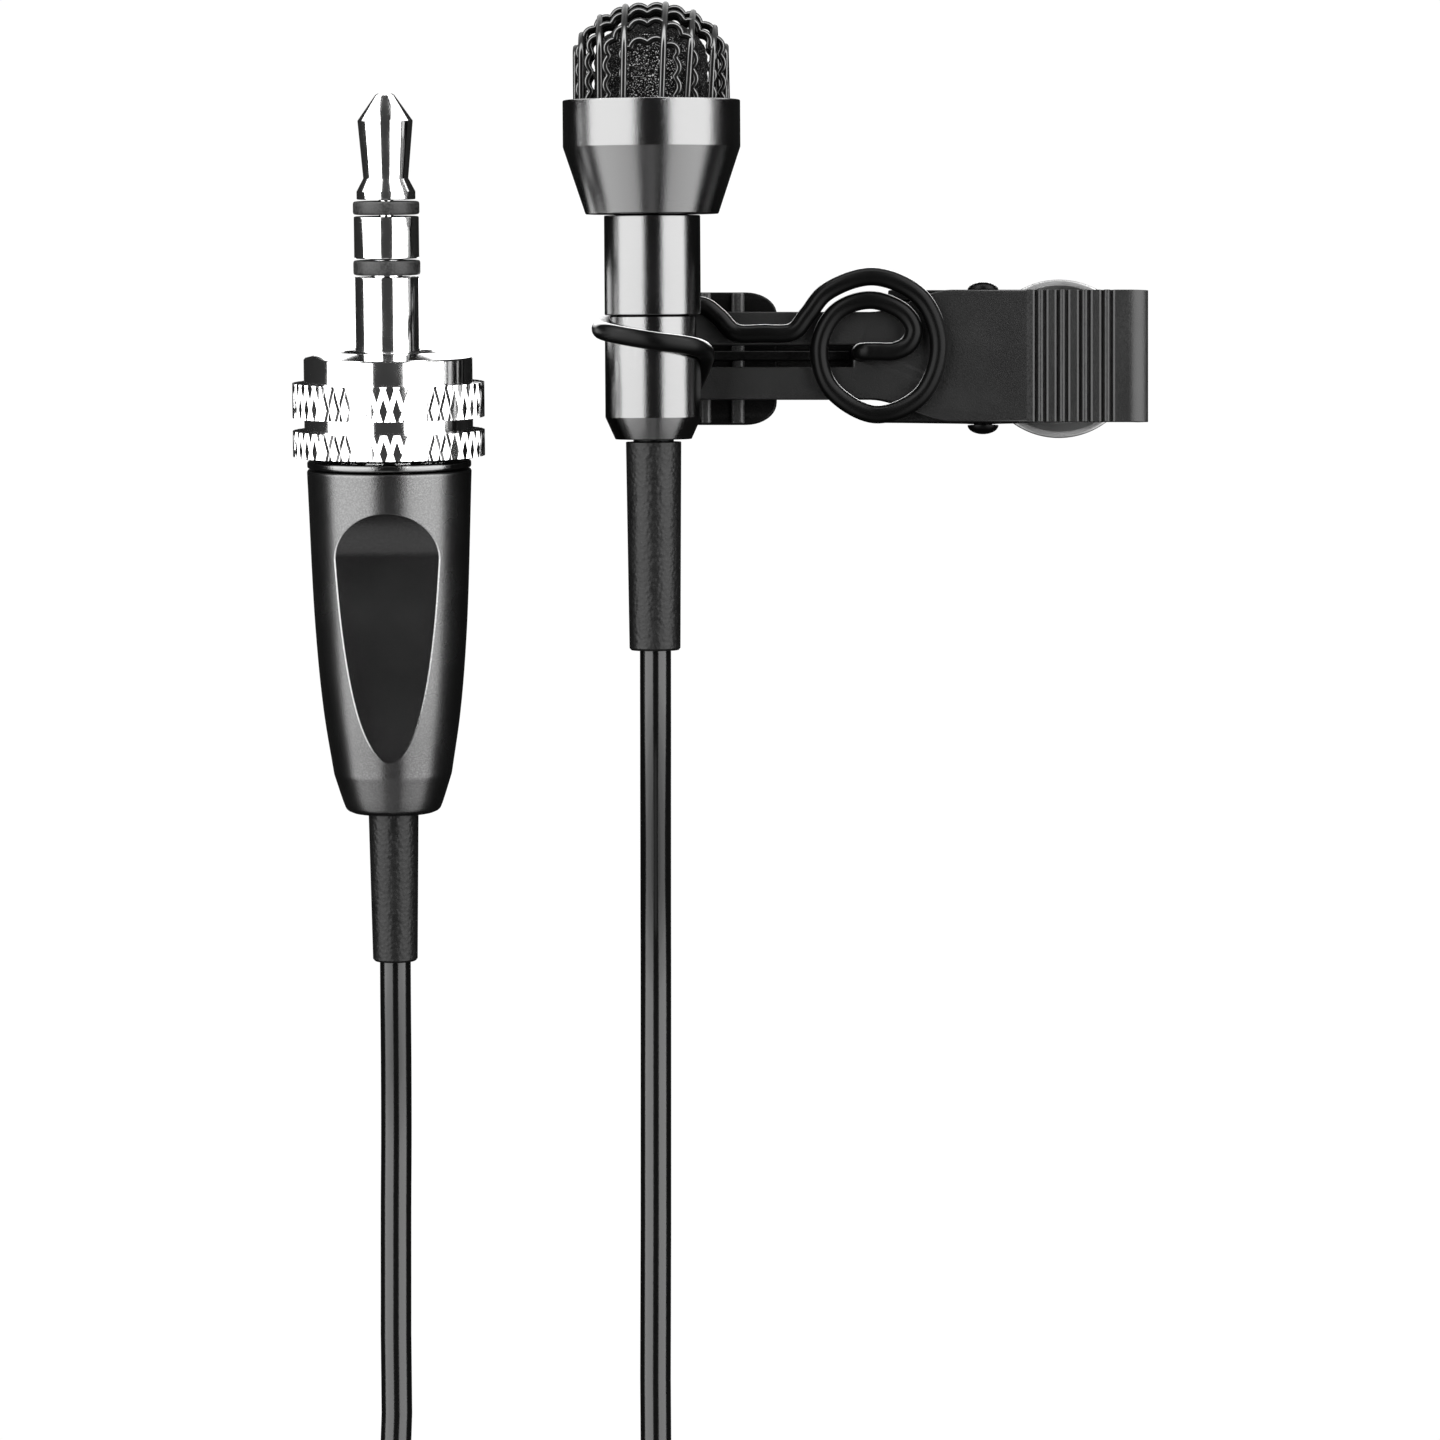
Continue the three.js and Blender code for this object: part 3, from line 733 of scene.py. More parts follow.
def addFloor():
    low, high = cadBox
    size = paper["size"]
    middle = (low + high) / 2
    verts = [(-size, -size, 0), (size, -size, 0), (size, size, 0), (-size, size, 0)]
    centre = Matrix.Translation((middle.x, middle.y, -paper["drop"] * mm))
    floor = addMesh("paleFloor", verts, [(0, 1, 2, 3)], centre)
    material, shader = newMaterial("palePaper", Roughness=0.9, Specular_IOR_Level=0.0)
    tree = material.node_tree
    grain = addEffect(material, "grain", Size=1.2)
    blendColours(material, grain.outputs["Speckle"], grey(0.01), grey(0.012), shader)
    # overlit paper to the eye; to other rays it is nearly black outside its lit parts, so the polished parts
    # see little of it
    glow = tree.nodes.new("ShaderNodeEmission")
    glow.inputs["Strength"].default_value = paper["glow"]
    spot = tree.nodes.new("ShaderNodeTexCoord")
    split = tree.nodes.new("ShaderNodeSeparateXYZ")
    link(tree, spot.outputs["Object"], split.inputs[0])
    beyond = mathNode(tree, "GREATER_THAN", split.outputs["Y"], paper["litBeyond"] * mm)
    patch = 1.0
    for axis, centre, half in zip("XY", paper["patchCentre"], paper["patchHalf"]):
        away = mathNode(tree, "ABSOLUTE", mathNode(tree, "SUBTRACT", split.outputs[axis], centre * mm))
        patch = mathNode(tree, "MULTIPLY", mathNode(tree, "LESS_THAN", away, half * mm), patch)
    lit = mathNode(tree, "MAXIMUM", beyond, patch)
    link(tree, mathNode(tree, "MULTIPLY", lit, paper["litStrength"]), shader.inputs["Emission Strength"])
    shader.inputs["Emission Color"].default_value = grey(1.0)
    rays = tree.nodes.new("ShaderNodeLightPath")
    mix = tree.nodes.new("ShaderNodeMixShader")
    link(tree, rays.outputs["Is Camera Ray"], mix.inputs["Fac"])
    link(tree, shader.outputs[0], mix.inputs[1])
    link(tree, glow.outputs[0], mix.inputs[2])
    link(tree, mix.outputs[0], tree.nodes["Material Output"].inputs["Surface"])
    floor.data.materials.append(material)


addFloor()

# cable

cable = {
    "diameter": 1.7,
    "insideMic": (-11.27, -15.6, 5.85),          # where the jacket starts inside its strain relief
    "insidePlug": (-25.66, -32.7, 2.33),
    "micRoute": [(-11.27, -16.32, 5.79), (-11.27, -18.6, 5.58), (-11.27, -21.0, 5.16), (-11.28, -24.0, 4.25),
                 (-11.29, -27.5, 2.85), (-11.3, -30.5, 1.72), (-11.3, -33.5, 1.08), (-11.3, -37.0, 0.87),
                 (-11.3, -48.0, 0.87), (-11.3, -60.0, 0.87), (-11.15, -64.0, 0.87), (-10.25, -67.6, 0.87),
                 (-8.5, -70.8, 0.87)],
    "plugRoute": [(-25.66, -33.4, 2.26), (-25.66, -35.4, 2.04), (-25.66, -37.8, 1.64), (-25.67, -40.5, 1.16),
                  (-25.68, -43.5, 0.9), (-25.7, -47.0, 0.87), (-25.7, -54.0, 0.87), (-25.72, -60.5, 0.87),
                  (-26.3, -64.5, 1.2), (-27.9, -68.3, 2.25), (-29.2, -71.4, 3.4)],
    "coilCentre": (-18.5, -82.0),
    "lowestTurn": 1.2,
    "pointsPerTurn": 16,
    # each layer: radius of its first turn, of its last turn, height above the lowest turn, turns
    "layers": [(13.1, 6.4, 0.0, 5), (7.3, 12.3, 1.5, 4), (13.1, 6.4, 3.0, 5), (7.3, 12.3, 4.4, 4.5)],
}


# the wound turns: clockwise from the right, in and out again layer by layer
def coilTurns():
    points = []
    turned = 0.0
    for first, last, height, turns in cable["layers"]:
        steps = int(turns * cable["pointsPerTurn"])
        for k in range(steps):
            share = k / (steps - 1)
            angle = -2 * math.pi * (turned + turns * k / steps)
            radius = first + (last - first) * share
            points.append((cable["coilCentre"][0] + radius * math.cos(angle),
                           cable["coilCentre"][1] + radius * math.sin(angle), cable["lowestTurn"] + height))
        turned += turns
    return points


def pathLength(points):
    return sum((Vector(b) - Vector(a)).length for a, b in zip(points, points[1:]))


def addCable():
    radius = cable["diameter"] / 2
    route = [cable["insideMic"], *cable["micRoute"], *coilTurns(), *reversed(cable["plugRoute"]),
             cable["insidePlug"]]
    path = smoothPath(route, 3)
    piece = barPiece("cable", [path], radius, clipFrame, 16, dome=False)
    settle(piece, "microphone", "cable_skin", "cable_mic_run", "cable_plug_run", "cable_coil")
    return piece, [p * mm for p in path], pathLength(path) * mm


cablePiece, cablePath, cableLength = addCable()
print("cable length, m:", round(cableLength, 3))

# microphone, in its own frame: +Y along the axis, +Z towards the eye

grille = {
    "radius": 4.12, "base": 11.8, "shoulder": 14.9, "rise": 2.9,
    "wire": 0.18,
    # each straight wire leans a little: distance from the axis at its foot and at its crest
    "straightWires": ((-4.05, -4.05), (-3.77, -3.73), (-2.75, -2.73), (-1.48, -1.36), (0.57, 0.81),
                      (1.92, 2.3), (3.17, 3.45), (3.97, 4.04)),
    # crimped hoops, front and back: distance from the axis, half width, rise above the shoulder
    "crimpedHoops": ((0.9, 3.82, 2.66), (2.2, 3.3, 2.34), (3.2, 2.32, 1.75), (3.72, 1.42, 0.75)),
    "crimpPitch": 1.03,
    "crimpDepth": 0.26,
    "crimpShift": 0.15,
}


# a hoop over the dome: (across, along) points
def domeHoop(half, rise):
    wall = [(half, grille["base"] + (grille["shoulder"] - grille["base"]) * k / 24) for k in range(24)]
    crown = [(half * math.cos(math.pi * k / 96), grille["shoulder"] + rise * math.sin(math.pi * k / 96))
             for k in range(97)]
    return [*wall, *crown, *((-x, y) for x, y in reversed(wall))]


# lifts a hoop into even outward humps, counted from its crown
def crimpHoop(hoop):
    lengths = [0.0]
    for (x0, y0), (x1, y1) in zip(hoop, hoop[1:]):
        lengths.append(lengths[-1] + math.hypot(x1 - x0, y1 - y0))
    crimped = []
    for i, (x, y) in enumerate(hoop):
        before, after = hoop[max(i - 1, 0)], hoop[min(i + 1, len(hoop) - 1)]
        normal = Vector((after[1] - before[1], before[0] - after[0])).normalized()
        phase = (lengths[i] - lengths[-1] / 2) / grille["crimpPitch"] - grille["crimpShift"]
        lift = grille["crimpDepth"] * (abs(math.sin(math.pi * phase)) ** 0.9 - 0.5)
        crimped.append((x + normal.x * lift, y + normal.y * lift))
    return crimped


def evenHoop(hoop, spacing=0.09):
    even = [hoop[0]]
    for (x0, y0), (x1, y1) in zip(hoop, hoop[1:]):
        count = max(1, round(math.hypot(x1 - x0, y1 - y0) / spacing))
        even += [(x0 + (x1 - x0) * k / count, y0 + (y1 - y0) * k / count) for k in range(1, count + 1)]
    return even


def addGrille():
    paths = []
    for foot, crest in grille["straightWires"]:
        half = math.sqrt(grille["radius"] ** 2 - crest ** 2)
        rise = grille["rise"] * half / grille["radius"]
        top = grille["shoulder"] + rise
        path = []
        for x, y in domeHoop(half, rise):
            share = (y - grille["base"]) / (top - grille["base"])
            path.append(Vector((foot + (crest - foot) * (share if x > 0 else 2 - share), y, x)))
        paths.append(path)
    for offset, half, rise in grille["crimpedHoops"]:
        hoop = crimpHoop(evenHoop(domeHoop(half, rise)))
        for side in (-offset, offset):
            paths.append([Vector((x, y, side)) for x, y in hoop])
    piece = barPiece("grilleMesh", paths, grille["wire"], micFrame, 10)
    return settle(piece, "microphone", "mesh_wire", "grille")


windscreen = {
    "radius": 3.05, "base": 11.05, "shoulder": 14.6, "rise": 2.4,
    "rows": 58, "rowHeight": 0.06, "sides": 200,
    "lumps": 0.1, "lumpSize": 0.45, "poreSize": 0.2, "poreShare": 0.6,
}


# a foam ball with the lumpy skin of open cells
def addWindscreen():
    w = windscreen
    dome = [(w["radius"] * math.cos(a), w["shoulder"] + w["rise"] * math.sin(a))
            for a in (math.pi / 2 * k / 60 for k in range(61))]
    dome[-1] = (0, dome[-1][1])
    wall = [(w["radius"], w["base"] + w["rowHeight"] * k) for k in range(1, w["rows"] + 1)]
    outline = [(0, w["base"]), (w["radius"] - 0.2, w["base"]), *wall, *dome]
    piece = turnPiece("foamBall", outline, micFrame, w["sides"], corner=0)
    for vertex in piece.data.vertices:
        lump = noise.noise(vertex.co / (w["lumpSize"] * mm))
        lump += w["poreShare"] * noise.noise(vertex.co / (w["poreSize"] * mm))
        vertex.co += vertex.normal * lump * w["lumps"] * mm
    piece.modifiers.clear()
    return settle(piece, "microphone", "foam", "foam_windscreen")


head = {
    "rim": 4.82, "lip": 4.6, "top": 12.61, "ledge": 11.6, "bandEnd": 10.08,
    "bottom": 6.45, "bottomRadius": 3.61, "bore": 3.7, "floor": 8.3, "neck": 2.15,
}
tube = {
    "radius": 2.615, "top": 6.38, "seam": 0.98, "groove": 2.36, "grooveTop": 0.93, "grooveEnd": -0.33,
    "end": -4.56, "tail": -5.76, "tailRadius": 2.075,
    # the upper tube's neck stands in the head, and the lower tube's spigot in the upper tube
    "neck": 1.85, "neckTop": 8.1, "bore": 1.5, "socket": 2.1, "socketTop": 2.6,
    "spigot": 1.95, "spigotTop": 2.45, "spigotBore": 1.6,
}
micRelief = {
    "top": -5.9, "radius": 1.508, "end": -17.26, "endRadius": 1.392,
    # its stem and flange stand inside the lower tube
    "stem": 1.1, "flange": 1.35, "flangeFoot": -4.75, "flangeTop": -3.7,
}


def addMicBody():
    h = head
    t = tube
    r = micRelief
    cup = [(h["neck"], h["bottom"]), (h["bottomRadius"], h["bottom"]), (h["rim"], h["bandEnd"]),
           (h["rim"], h["top"]), (h["lip"], h["top"]), (h["lip"], h["ledge"]), (h["bore"], h["ledge"]),
           (h["bore"], h["floor"]), (h["neck"], h["floor"]), (h["neck"], h["bottom"])]
    settle(turnPiece("headShell", cup, micFrame, 128, 0.09), "microphone", "black_metal", "head_cup")
    upper = [(t["socket"], t["seam"]), (t["radius"], t["seam"]), (t["radius"], t["top"]),
             (t["neck"], t["top"]), (t["neck"], t["neckTop"]), (t["bore"], t["neckTop"]),
             (t["bore"], t["socketTop"]), (t["socket"], t["socketTop"]), (t["socket"], t["seam"])]
    settle(turnPiece("upperTube", upper, micFrame, 112, 0.07), "microphone", "black_metal", "upper_barrel")
    lower = [(t["spigotBore"], t["tail"]), (t["tailRadius"], t["tail"]), (t["radius"], t["end"]),
             (t["radius"], t["grooveEnd"]), (t["groove"], t["grooveEnd"]), (t["groove"], t["grooveTop"]),
             (t["spigot"], t["grooveTop"]), (t["spigot"], t["spigotTop"]),
             (t["spigotBore"], t["spigotTop"]), (t["spigotBore"], t["tail"])]
    settle(turnPiece("lowerTube", lower, micFrame, 112, 0.07), "microphone", "black_metal", "lower_barrel")
    relief = [(0, r["end"]), (r["endRadius"] - 0.1, r["end"]), (r["endRadius"], r["end"] + 0.12),
              (r["radius"], r["top"]), (r["stem"], r["top"]), (r["stem"], r["flangeFoot"]),
              (r["flange"], r["flangeFoot"]), (r["flange"], r["flangeTop"]), (0, r["flangeTop"])]
    settle(turnPiece("micRelief", relief, micFrame, 96, 0.05), "microphone", "rubber", "mic_strain_relief")


addGrille()
addWindscreen()
addMicBody()
print("microphone built")

# clip

clip = {
    "plateTop": 3.4, "sheet": 0.7, "half": 3.63, "rear": 16.1, "rearRadius": 1.4,
    "tongueHalf": 2.41, "tongueTip": -12.0,
    "widening": (0.5, 5.0),       # where the tongue starts to widen, and where it has the full width
    "slot": (-10.2, -0.44, -0.62, 0.58),
    "swivelHole": 0.46,
    "flange": 0.6, "flangeStarts": (0.2, 1.5),
    "ribs": (9.51, 10.71, 11.94, 13.17),
    "ribWidth": 0.74, "ribRise": 0.13, "ribCentre": 0.36, "ribRound": 0.17, "grooveDepth": 0.2,
    "jawTip": -12.4, "jawHeel": -4.6, "jawHalf": 3.66, "jawThickness": 0.9,
    "ridgeTop": 1.3,
    "ridges": ((-12.2, -11.5), (-10.5, -9.8), (-8.8, -8.25), (-7.1, -6.4)),
    "pinHole": 0.62,
    "jawRib": (-10.4, -0.6, 0.7, 1.5),
    # the neck of the lower lever: from the side, from above, and the window for the spring
    "neck": [(-5.2, 0), (5.2, 0), (6.0, 0.75), (12.6, 0.75), (12.6, 1.4), (5.6, 1.4), (4.7, 0.8),
             (-5.2, 0.8)],
    "neckPlan": [(-5.2, -2.0), (4.2, -2.0), (4.7, -2.7), (8.7, -2.7), (9.2, -1.6), (11.9, -1.6),
                 (12.6, -0.9)],
    "window": (5.2, 8.35, -1.75, 1.75),
    "earHalf": 2.7, "ear": 0.55, "earRadius": 1.15, "flangeRadius": 1.2,
}
wireHolder = {
    "radius": 0.5,
    "height": 4.0,
    # the flat part, seen from above: hook, spiral, and the straight arm to the microphone
    "flat": [(0.9, 0.18), (1.85, 0.2), (2.62, 0.62), (2.88, 1.4), (2.3, 2.35), (0.5, 3.01),
             (-1.35, 2.36), (-2.29, 0.5), (-1.75, -1.75), (0.76, -3.27), (3.3, -2.2), (4.27, 0.49),
             (3.3, 3.1), (0.7, 4.3), (-1.9, 3.45), (-2.95, 2.2), (-3.75, 1.28), (-5.4, 1.18),
             (-6.95, 1.24), (-7.85, 2.1), (-8.75, 2.7)],
    # the ring: angle about the microphone, height along it, distance from its axis
    "around": [(-90, 1.0, 3.09), (-135, 0.62, 2.98), (180, 0.25, 2.83), (135, -0.02, 2.95),
               (90, -0.4, 3.09), (45, -0.72, 3.09), (8, -1.1, 2.85), (-22, -1.9, 2.85), (-40, -2.8, 2.9)],
}


def addWireHolder():
    w = wireHolder
    points = [Vector((swivel.x, swivel.y, z)) for z in (1.9, 3.3)]
    points += [Vector((swivel.x + 0.08, swivel.y, 3.8)), Vector((swivel.x + 0.35, swivel.y, w["height"]))]
    points += [Vector((x, y, w["height"])) for x, y in w["flat"]]
    for degrees, height, distance in w["around"]:
        angle = math.radians(degrees)
        local = Vector((distance * math.cos(angle), height, distance * math.sin(angle)))
        points.append(micFrame @ local / mm)
    piece = barPiece("bentWire", [smoothPath(points, 12)], w["radius"], clipFrame, 24)
    return settle(piece, "holder", "wire_coat", "wire_holder")


# the upper plate: narrow tongue that widens in a soft S to the full width
def plateOutline(end):
    half, narrow = clip["half"], clip["tongueHalf"]
    start, full = clip["widening"]
    side = [(clip["tongueTip"], narrow)]
    for k in range(15):
        t = k / 14
        side.append((start + (full - start) * t, narrow + (half - narrow) * (3 * t ** 2 - 2 * t ** 3)))
    side.append((end, half))
    return [*((x, -y) for x, y in side), *reversed(side)]


def slotOutline():
    left, right, low, high = clip["slot"]
    radius = clip["swivelHole"]
    foot, crown = (math.degrees(math.asin((y - swivel.y) / radius)) if abs(y - swivel.y) < radius else 90
                   for y in (low + 0.4, high))
    hole = arcPoints(swivel.x, swivel.y, radius, -180 - foot, 180 - crown, 20)
    return [(left, low), (right, low), (right, hole[0][1]), *hole, (left, high)]


def roundBar(x0, x1, z0, z1, steps=6):
    bulge = [(x1 - (x1 - x0) * k / steps, z1 - 0.15 * (z1 - z0) * (2 * k / steps - 1) ** 4)
             for k in range(steps + 1)]
    return [(x0, z0), (x1, z0), *bulge]


# the ribbed thumb plate from the side: a rounded rib stands in each shallow groove, and the end rolls down
def thumbProfile():
    c = clip
    top, under = c["plateTop"], c["plateTop"] - c["sheet"]
    profile = [(c["ribs"][0] - 0.4, under), (c["ribs"][0] - 0.4, top)]
    floor, width = top - c["grooveDepth"], c["ribWidth"]
    for x in c["ribs"]:
        crest = [(x + c["ribCentre"] + c["ribRound"] * math.sin(a),
                  top + c["ribRise"] - c["ribRound"] * (1 - math.cos(a)))
                 for a in (math.radians(d) for d in range(-75, 76, 15))]
        profile += [(x - 0.06, top), (x + 0.04, top - 0.04), (x + 0.05, floor), (x + 0.17, floor), *crest,
                    (x + 0.55, floor), (x + width - 0.05, floor), (x + width - 0.04, top - 0.04),
                    (x + width + 0.06, top)]
    rollX, rollZ = c["rear"] - c["rearRadius"], top - c["rearRadius"]
    profile += arcPoints(rollX, rollZ, c["rearRadius"], 90, 36, 30)
    profile += arcPoints(rollX, rollZ, c["rearRadius"] - c["sheet"], 36, 90, 6)
    return profile


def addUpperLever():
    c = clip
    top, under = c["plateTop"], c["plateTop"] - c["sheet"]
    outlines = [plateOutline(c["ribs"][0] - 0.3), slotOutline()]
    plate = platePiece("plate", outlines, under, top, clipFrame, 0.1)
    thumb = platePiece("thumb", [thumbProfile()], -c["half"], c["half"], clipFrame @ edgeways, 0.015)
    crispFaces(thumb)
    hole = arcPoints(pivot.x, pivot.z, c["pinHole"], 0, 345, 23)
    inner = []
    for low, start in zip((c["half"] - c["flange"], -c["half"]), c["flangeStarts"]):
        flange = [(start, top - 0.35), (start + 0.3, 1.9), (2.4, 1.6), (5.7, 0.75),
                  *arcPoints(pivot.x, pivot.z, c["flangeRadius"], 215, 325, 12),
                  (11.4, under - 0.2), (11.4, top - 0.35)]
        inner.append(platePiece("flange", [flange, hole], low, low + c["flange"], clipFrame @ edgeways, 0.1))
    lip = boxOutline(c["tongueTip"], c["tongueTip"] + 0.7, c["ridgeTop"] + 0.15, top - 0.2)
    inner.append(platePiece("lip", [lip], -c["tongueHalf"], c["tongueHalf"], clipFrame @ edgeways, 0.1))
    lever = mergePieces("upperPlate", [plate, thumb], inner)
    lever.data.materials.append(finishes["clip_paint"])
    # the flanges and lip take the darker copy of the paint: painted shade
    lever.data.materials.append(finishes["clipShadedPaint"])
    return settle(lever, "clip_upper", "clip_paint", "upper_lever")


def roundedEnd(x0, x1, half, radius):
    heel = [(x1 - radius[0] * (1 - math.sin(a)), half - radius[1] * (1 - math.cos(a)))
            for a in (math.pi / 2 * k / 10 for k in range(11))]
    tip = [(x0, half - 0.9), (x0 + 0.25, half - 0.3), (x0 + 0.9, half)]
    side = [*tip, *heel]
    return [*((x, -y) for x, y in side), *reversed(side)]


def addLowerLever():
    c = clip
    jaw = roundedEnd(c["jawTip"], c["jawHeel"], c["jawHalf"], (1.72, 1.22))
    inner = [platePiece("jaw", [jaw], 0, c["jawThickness"], clipFrame, 0.12)]
    pieces = []
    for x0, x1 in c["ridges"]:
        bar = roundBar(x0, x1, 0.6, c["ridgeTop"])
        reach = c["jawHalf"] - 0.05
        pieces.append(platePiece("ridge", [bar], -reach, reach, clipFrame @ edgeways, 0.06))
    plan = [*c["neckPlan"], *((x, -y) for x, y in reversed(c["neckPlan"]))]
    bar = platePiece("neck", [c["neck"]], -c["earHalf"], c["earHalf"], clipFrame @ edgeways, 0.05)
    outline = platePiece("plan", [plan, boxOutline(*c["window"])], -1, 3, clipFrame, 0.05)
    trim = bar.modifiers.new("plan", "BOOLEAN")
    trim.operation = "INTERSECT"
    trim.object = outline
    bpy.context.view_layer.update()
    bar.data = bpy.data.meshes.new_from_object(bar.evaluated_get(bpy.context.evaluated_depsgraph_get()))
    bar.modifiers.clear()
    bpy.data.objects.remove(outline)
    inner.append(bar)
    inner.append(platePiece("rib", [boxOutline(*c["jawRib"])], -0.38, 0.15, clipFrame @ edgeways, 0.08))
    ear = [(5.5, 0.9), (8.1, 0.9), *arcPoints(pivot.x, pivot.z, c["earRadius"], 0, 180, 16)]
    hole = arcPoints(pivot.x, pivot.z, c["pinHole"], 0, 345, 23)
    for low in (c["earHalf"] - c["ear"], -c["earHalf"]):
        inner.append(platePiece("ear", [ear, hole], low, low + c["ear"], clipFrame @ edgeways, 0.08))
    lever = mergePieces("lowerJaw", pieces, inner)
    # the ridges take the lighter copy of the paint: painted light
    lever.data.materials.append(finishes["clipLitPaint"])
    # the jaw, neck, rib and ears take the darker copy of the paint: painted shade
    lever.data.materials.append(finishes["clipShadedPaint"])
    return settle(lever, "clip_lower", "clip_paint", "lower_lever")


pad = {
    "centre": 11.06,
    "flat": 8.1,                  # the disc is cut off here, towards the hinge
    "dish": [(0.65, 0), (4.1, 0), (4.39, 0.22), (4.39, 0.6), (4.05, 0.6), (3.6, 0.4), (0.65, 0.4),
             (0.65, 0)],
    "rivet": [(0, 0.08), (0.5, 0.08), (0.5, 1.5), (0.85, 1.5), (0.7, 1.72), (0, 1.8)],
}


def addPad():
    p = pad
    upright = clipFrame @ Matrix.Translation((p["centre"], 0, 0)) @ edgeways
    disc = turnPiece("thumbDisc", p["dish"], upright, 128, 0.12)
    tool = platePiece("tool", [boxOutline(p["centre"] - 8, p["flat"], -8, 8)], -3, 3, clipFrame, 0.05)
    disc.data.materials.append(finishes["satinNickel"])
    settle(cutPiece(disc, tool), "clip_lower", "nickel", "thumb_pad")
    settle(turnPiece("discRivet", p["rivet"], upright, 48, 0.08), "clip_lower", "nickel", "pad_rivet")


pin = {"radius": 0.5, "shoulder": 3.73, "head": 0.86, "headHeight": 0.5}
spring = {
    "turns": 4, "pointsPerTurn": 24, "radius": 0.85, "wire": 0.13, "half": 1.4,
    "upperLeg": ((9.8, -1.4, 2.42), (8.4, -1.4, 2.4)),
    "lowerLeg": ((8.0, 1.4, 2.14), (9.3, 1.4, 2.1)),
}


def addPinAndSpring():
    at = clipFrame @ Matrix.Translation(Vector((pivot.x, 0, pivot.z)))
    dome = [(pin["head"] * math.cos(a), pin["shoulder"] + pin["headHeight"] * math.sin(a))
            for a in (math.pi / 2 * k / 10 for k in range(10))]
    dome.append((0, pin["shoulder"] + pin["headHeight"]))
    foot = [(r, -y) for r, y in reversed(dome)]
    outline = [*foot, (pin["radius"], -pin["shoulder"]), (pin["radius"], pin["shoulder"]), *dome]
    settle(turnPiece("hingePin", outline, at, 64, 0.05), "clip_upper", "wire_coat", "pivot_pin")
    s = spring
    coil = []
    steps = s["turns"] * s["pointsPerTurn"]
    for k in range(steps + 1):
        angle = math.pi / 2 - 2 * math.pi * k / s["pointsPerTurn"]
        y = -s["half"] + 2 * s["half"] * k / steps
        coil.append((pivot.x + s["radius"] * math.cos(angle), y, pivot.z + s["radius"] * math.sin(angle)))
    path = smoothPath([*s["upperLeg"], *coil, *s["lowerLeg"]], 3)
    piece = barPiece("clipSpring", [path], s["wire"], clipFrame, 12)
    settle(piece, "clip_upper", "spring_steel", "torsion_spring")


addWireHolder()
addUpperLever()
addLowerLever()
addPad()
addPinAndSpring()
print("clip built")

# plug, in its own frame: +Y towards the tip

plug = {
    "tip": [(0, -7), (0.4, -7), (0.4, 12.55), (1.6, 12.55), (1.6, 12.98), (1.224, 13.69), (1.503, 16.81),
            (0.516, 18.2), (0.4, 18.27), (0, 18.27)],
    "ring": [(0.6, -5.5), (0.9, -5.5), (0.9, 9.35), (1.77, 9.35), (1.77, 11.63), (0.6, 11.63), (0.6, -5.5)],
    "sleeve": [(1.2, -4), (1.77, -4), (1.77, -1.4), (3.1, -1.4), (3.1, -0.5), (1.77, -0.5), (1.77, 8.35),
               (1.2, 8.35), (1.2, -4)],
    # insulating collars: outer radius, inner radius, foot, top
    "tipCollar": (1.81, 0.55, 11.73, 12.45), "ringCollar": (1.825, 1.05, 8.45, 9.25),
    "ringBody": 4.6, "ringTop": 4.26, "ringMouth": 2.85, "ringTopFlat": 3.27,
    "knurl": 5.24, "knurlBase": 5.15, "diamonds": 46, "diamondGrid": 16, "diamondFlat": 0.375,
    # each knurled band: from, to, rows of the grid, row at which the diamonds are widest
    "bands": ((0.72, 2.6, 13, 4), (-1.4, 0.0, 10, 3)),
    # the locking ring's section: bore and outside of its foot, seat on the sleeve's flange, shaft bore
    "footBore": 3.3, "foot": 4.5, "footHeight": -1.55, "seat": -0.2, "shaftBore": 2.15, "mouthFloor": 0.9,
    "collar": (4.48, 1.92, -2.05, -1.67),
    "reliefEnd": -29.28,
    # the plug's strain relief: its stem through the barrel's end, and its flange inside
    "relief": [(1.371, -21.15), (1.371, -17.85), (2.1, -17.85), (2.1, -15.2), (0, -15.2)],
}


def addContacts():
    contacts = [
        settle(turnPiece(name, plug[outline], plugFrame, 96, corner), "microphone", "nickel", node)
        for name, outline, corner, node in (("plugTip", "tip", 0.06, "tip_contact"),
                                            ("plugRing", "ring", 0.08, "ring_contact"),
                                            ("plugSleeve", "sleeve", 0.08, "sleeve_contact"))]
    collars = [
        settle(turnPiece(name, tubeOutline(*plug[name]), plugFrame, 96, 0.15),
               "microphone", "black_plastic", node)
        for name, node in (("tipCollar", "tip_insulator"), ("ringCollar", "ring_insulator"))]
    return [*contacts, *collars]


def triangle(value):
    return 1 - abs(2 * (value % 1.0) - 1)


# raised diamonds with flat tops; both arguments count in diamonds
def knurlRadius(turn, rise):
    slope = min(triangle(turn + 0.5 + rise), triangle(turn + 0.5 - rise))
    return plug["knurlBase"] + (plug["knurl"] - plug["knurlBase"]) * min(slope / plug["diamondFlat"], 1.0)


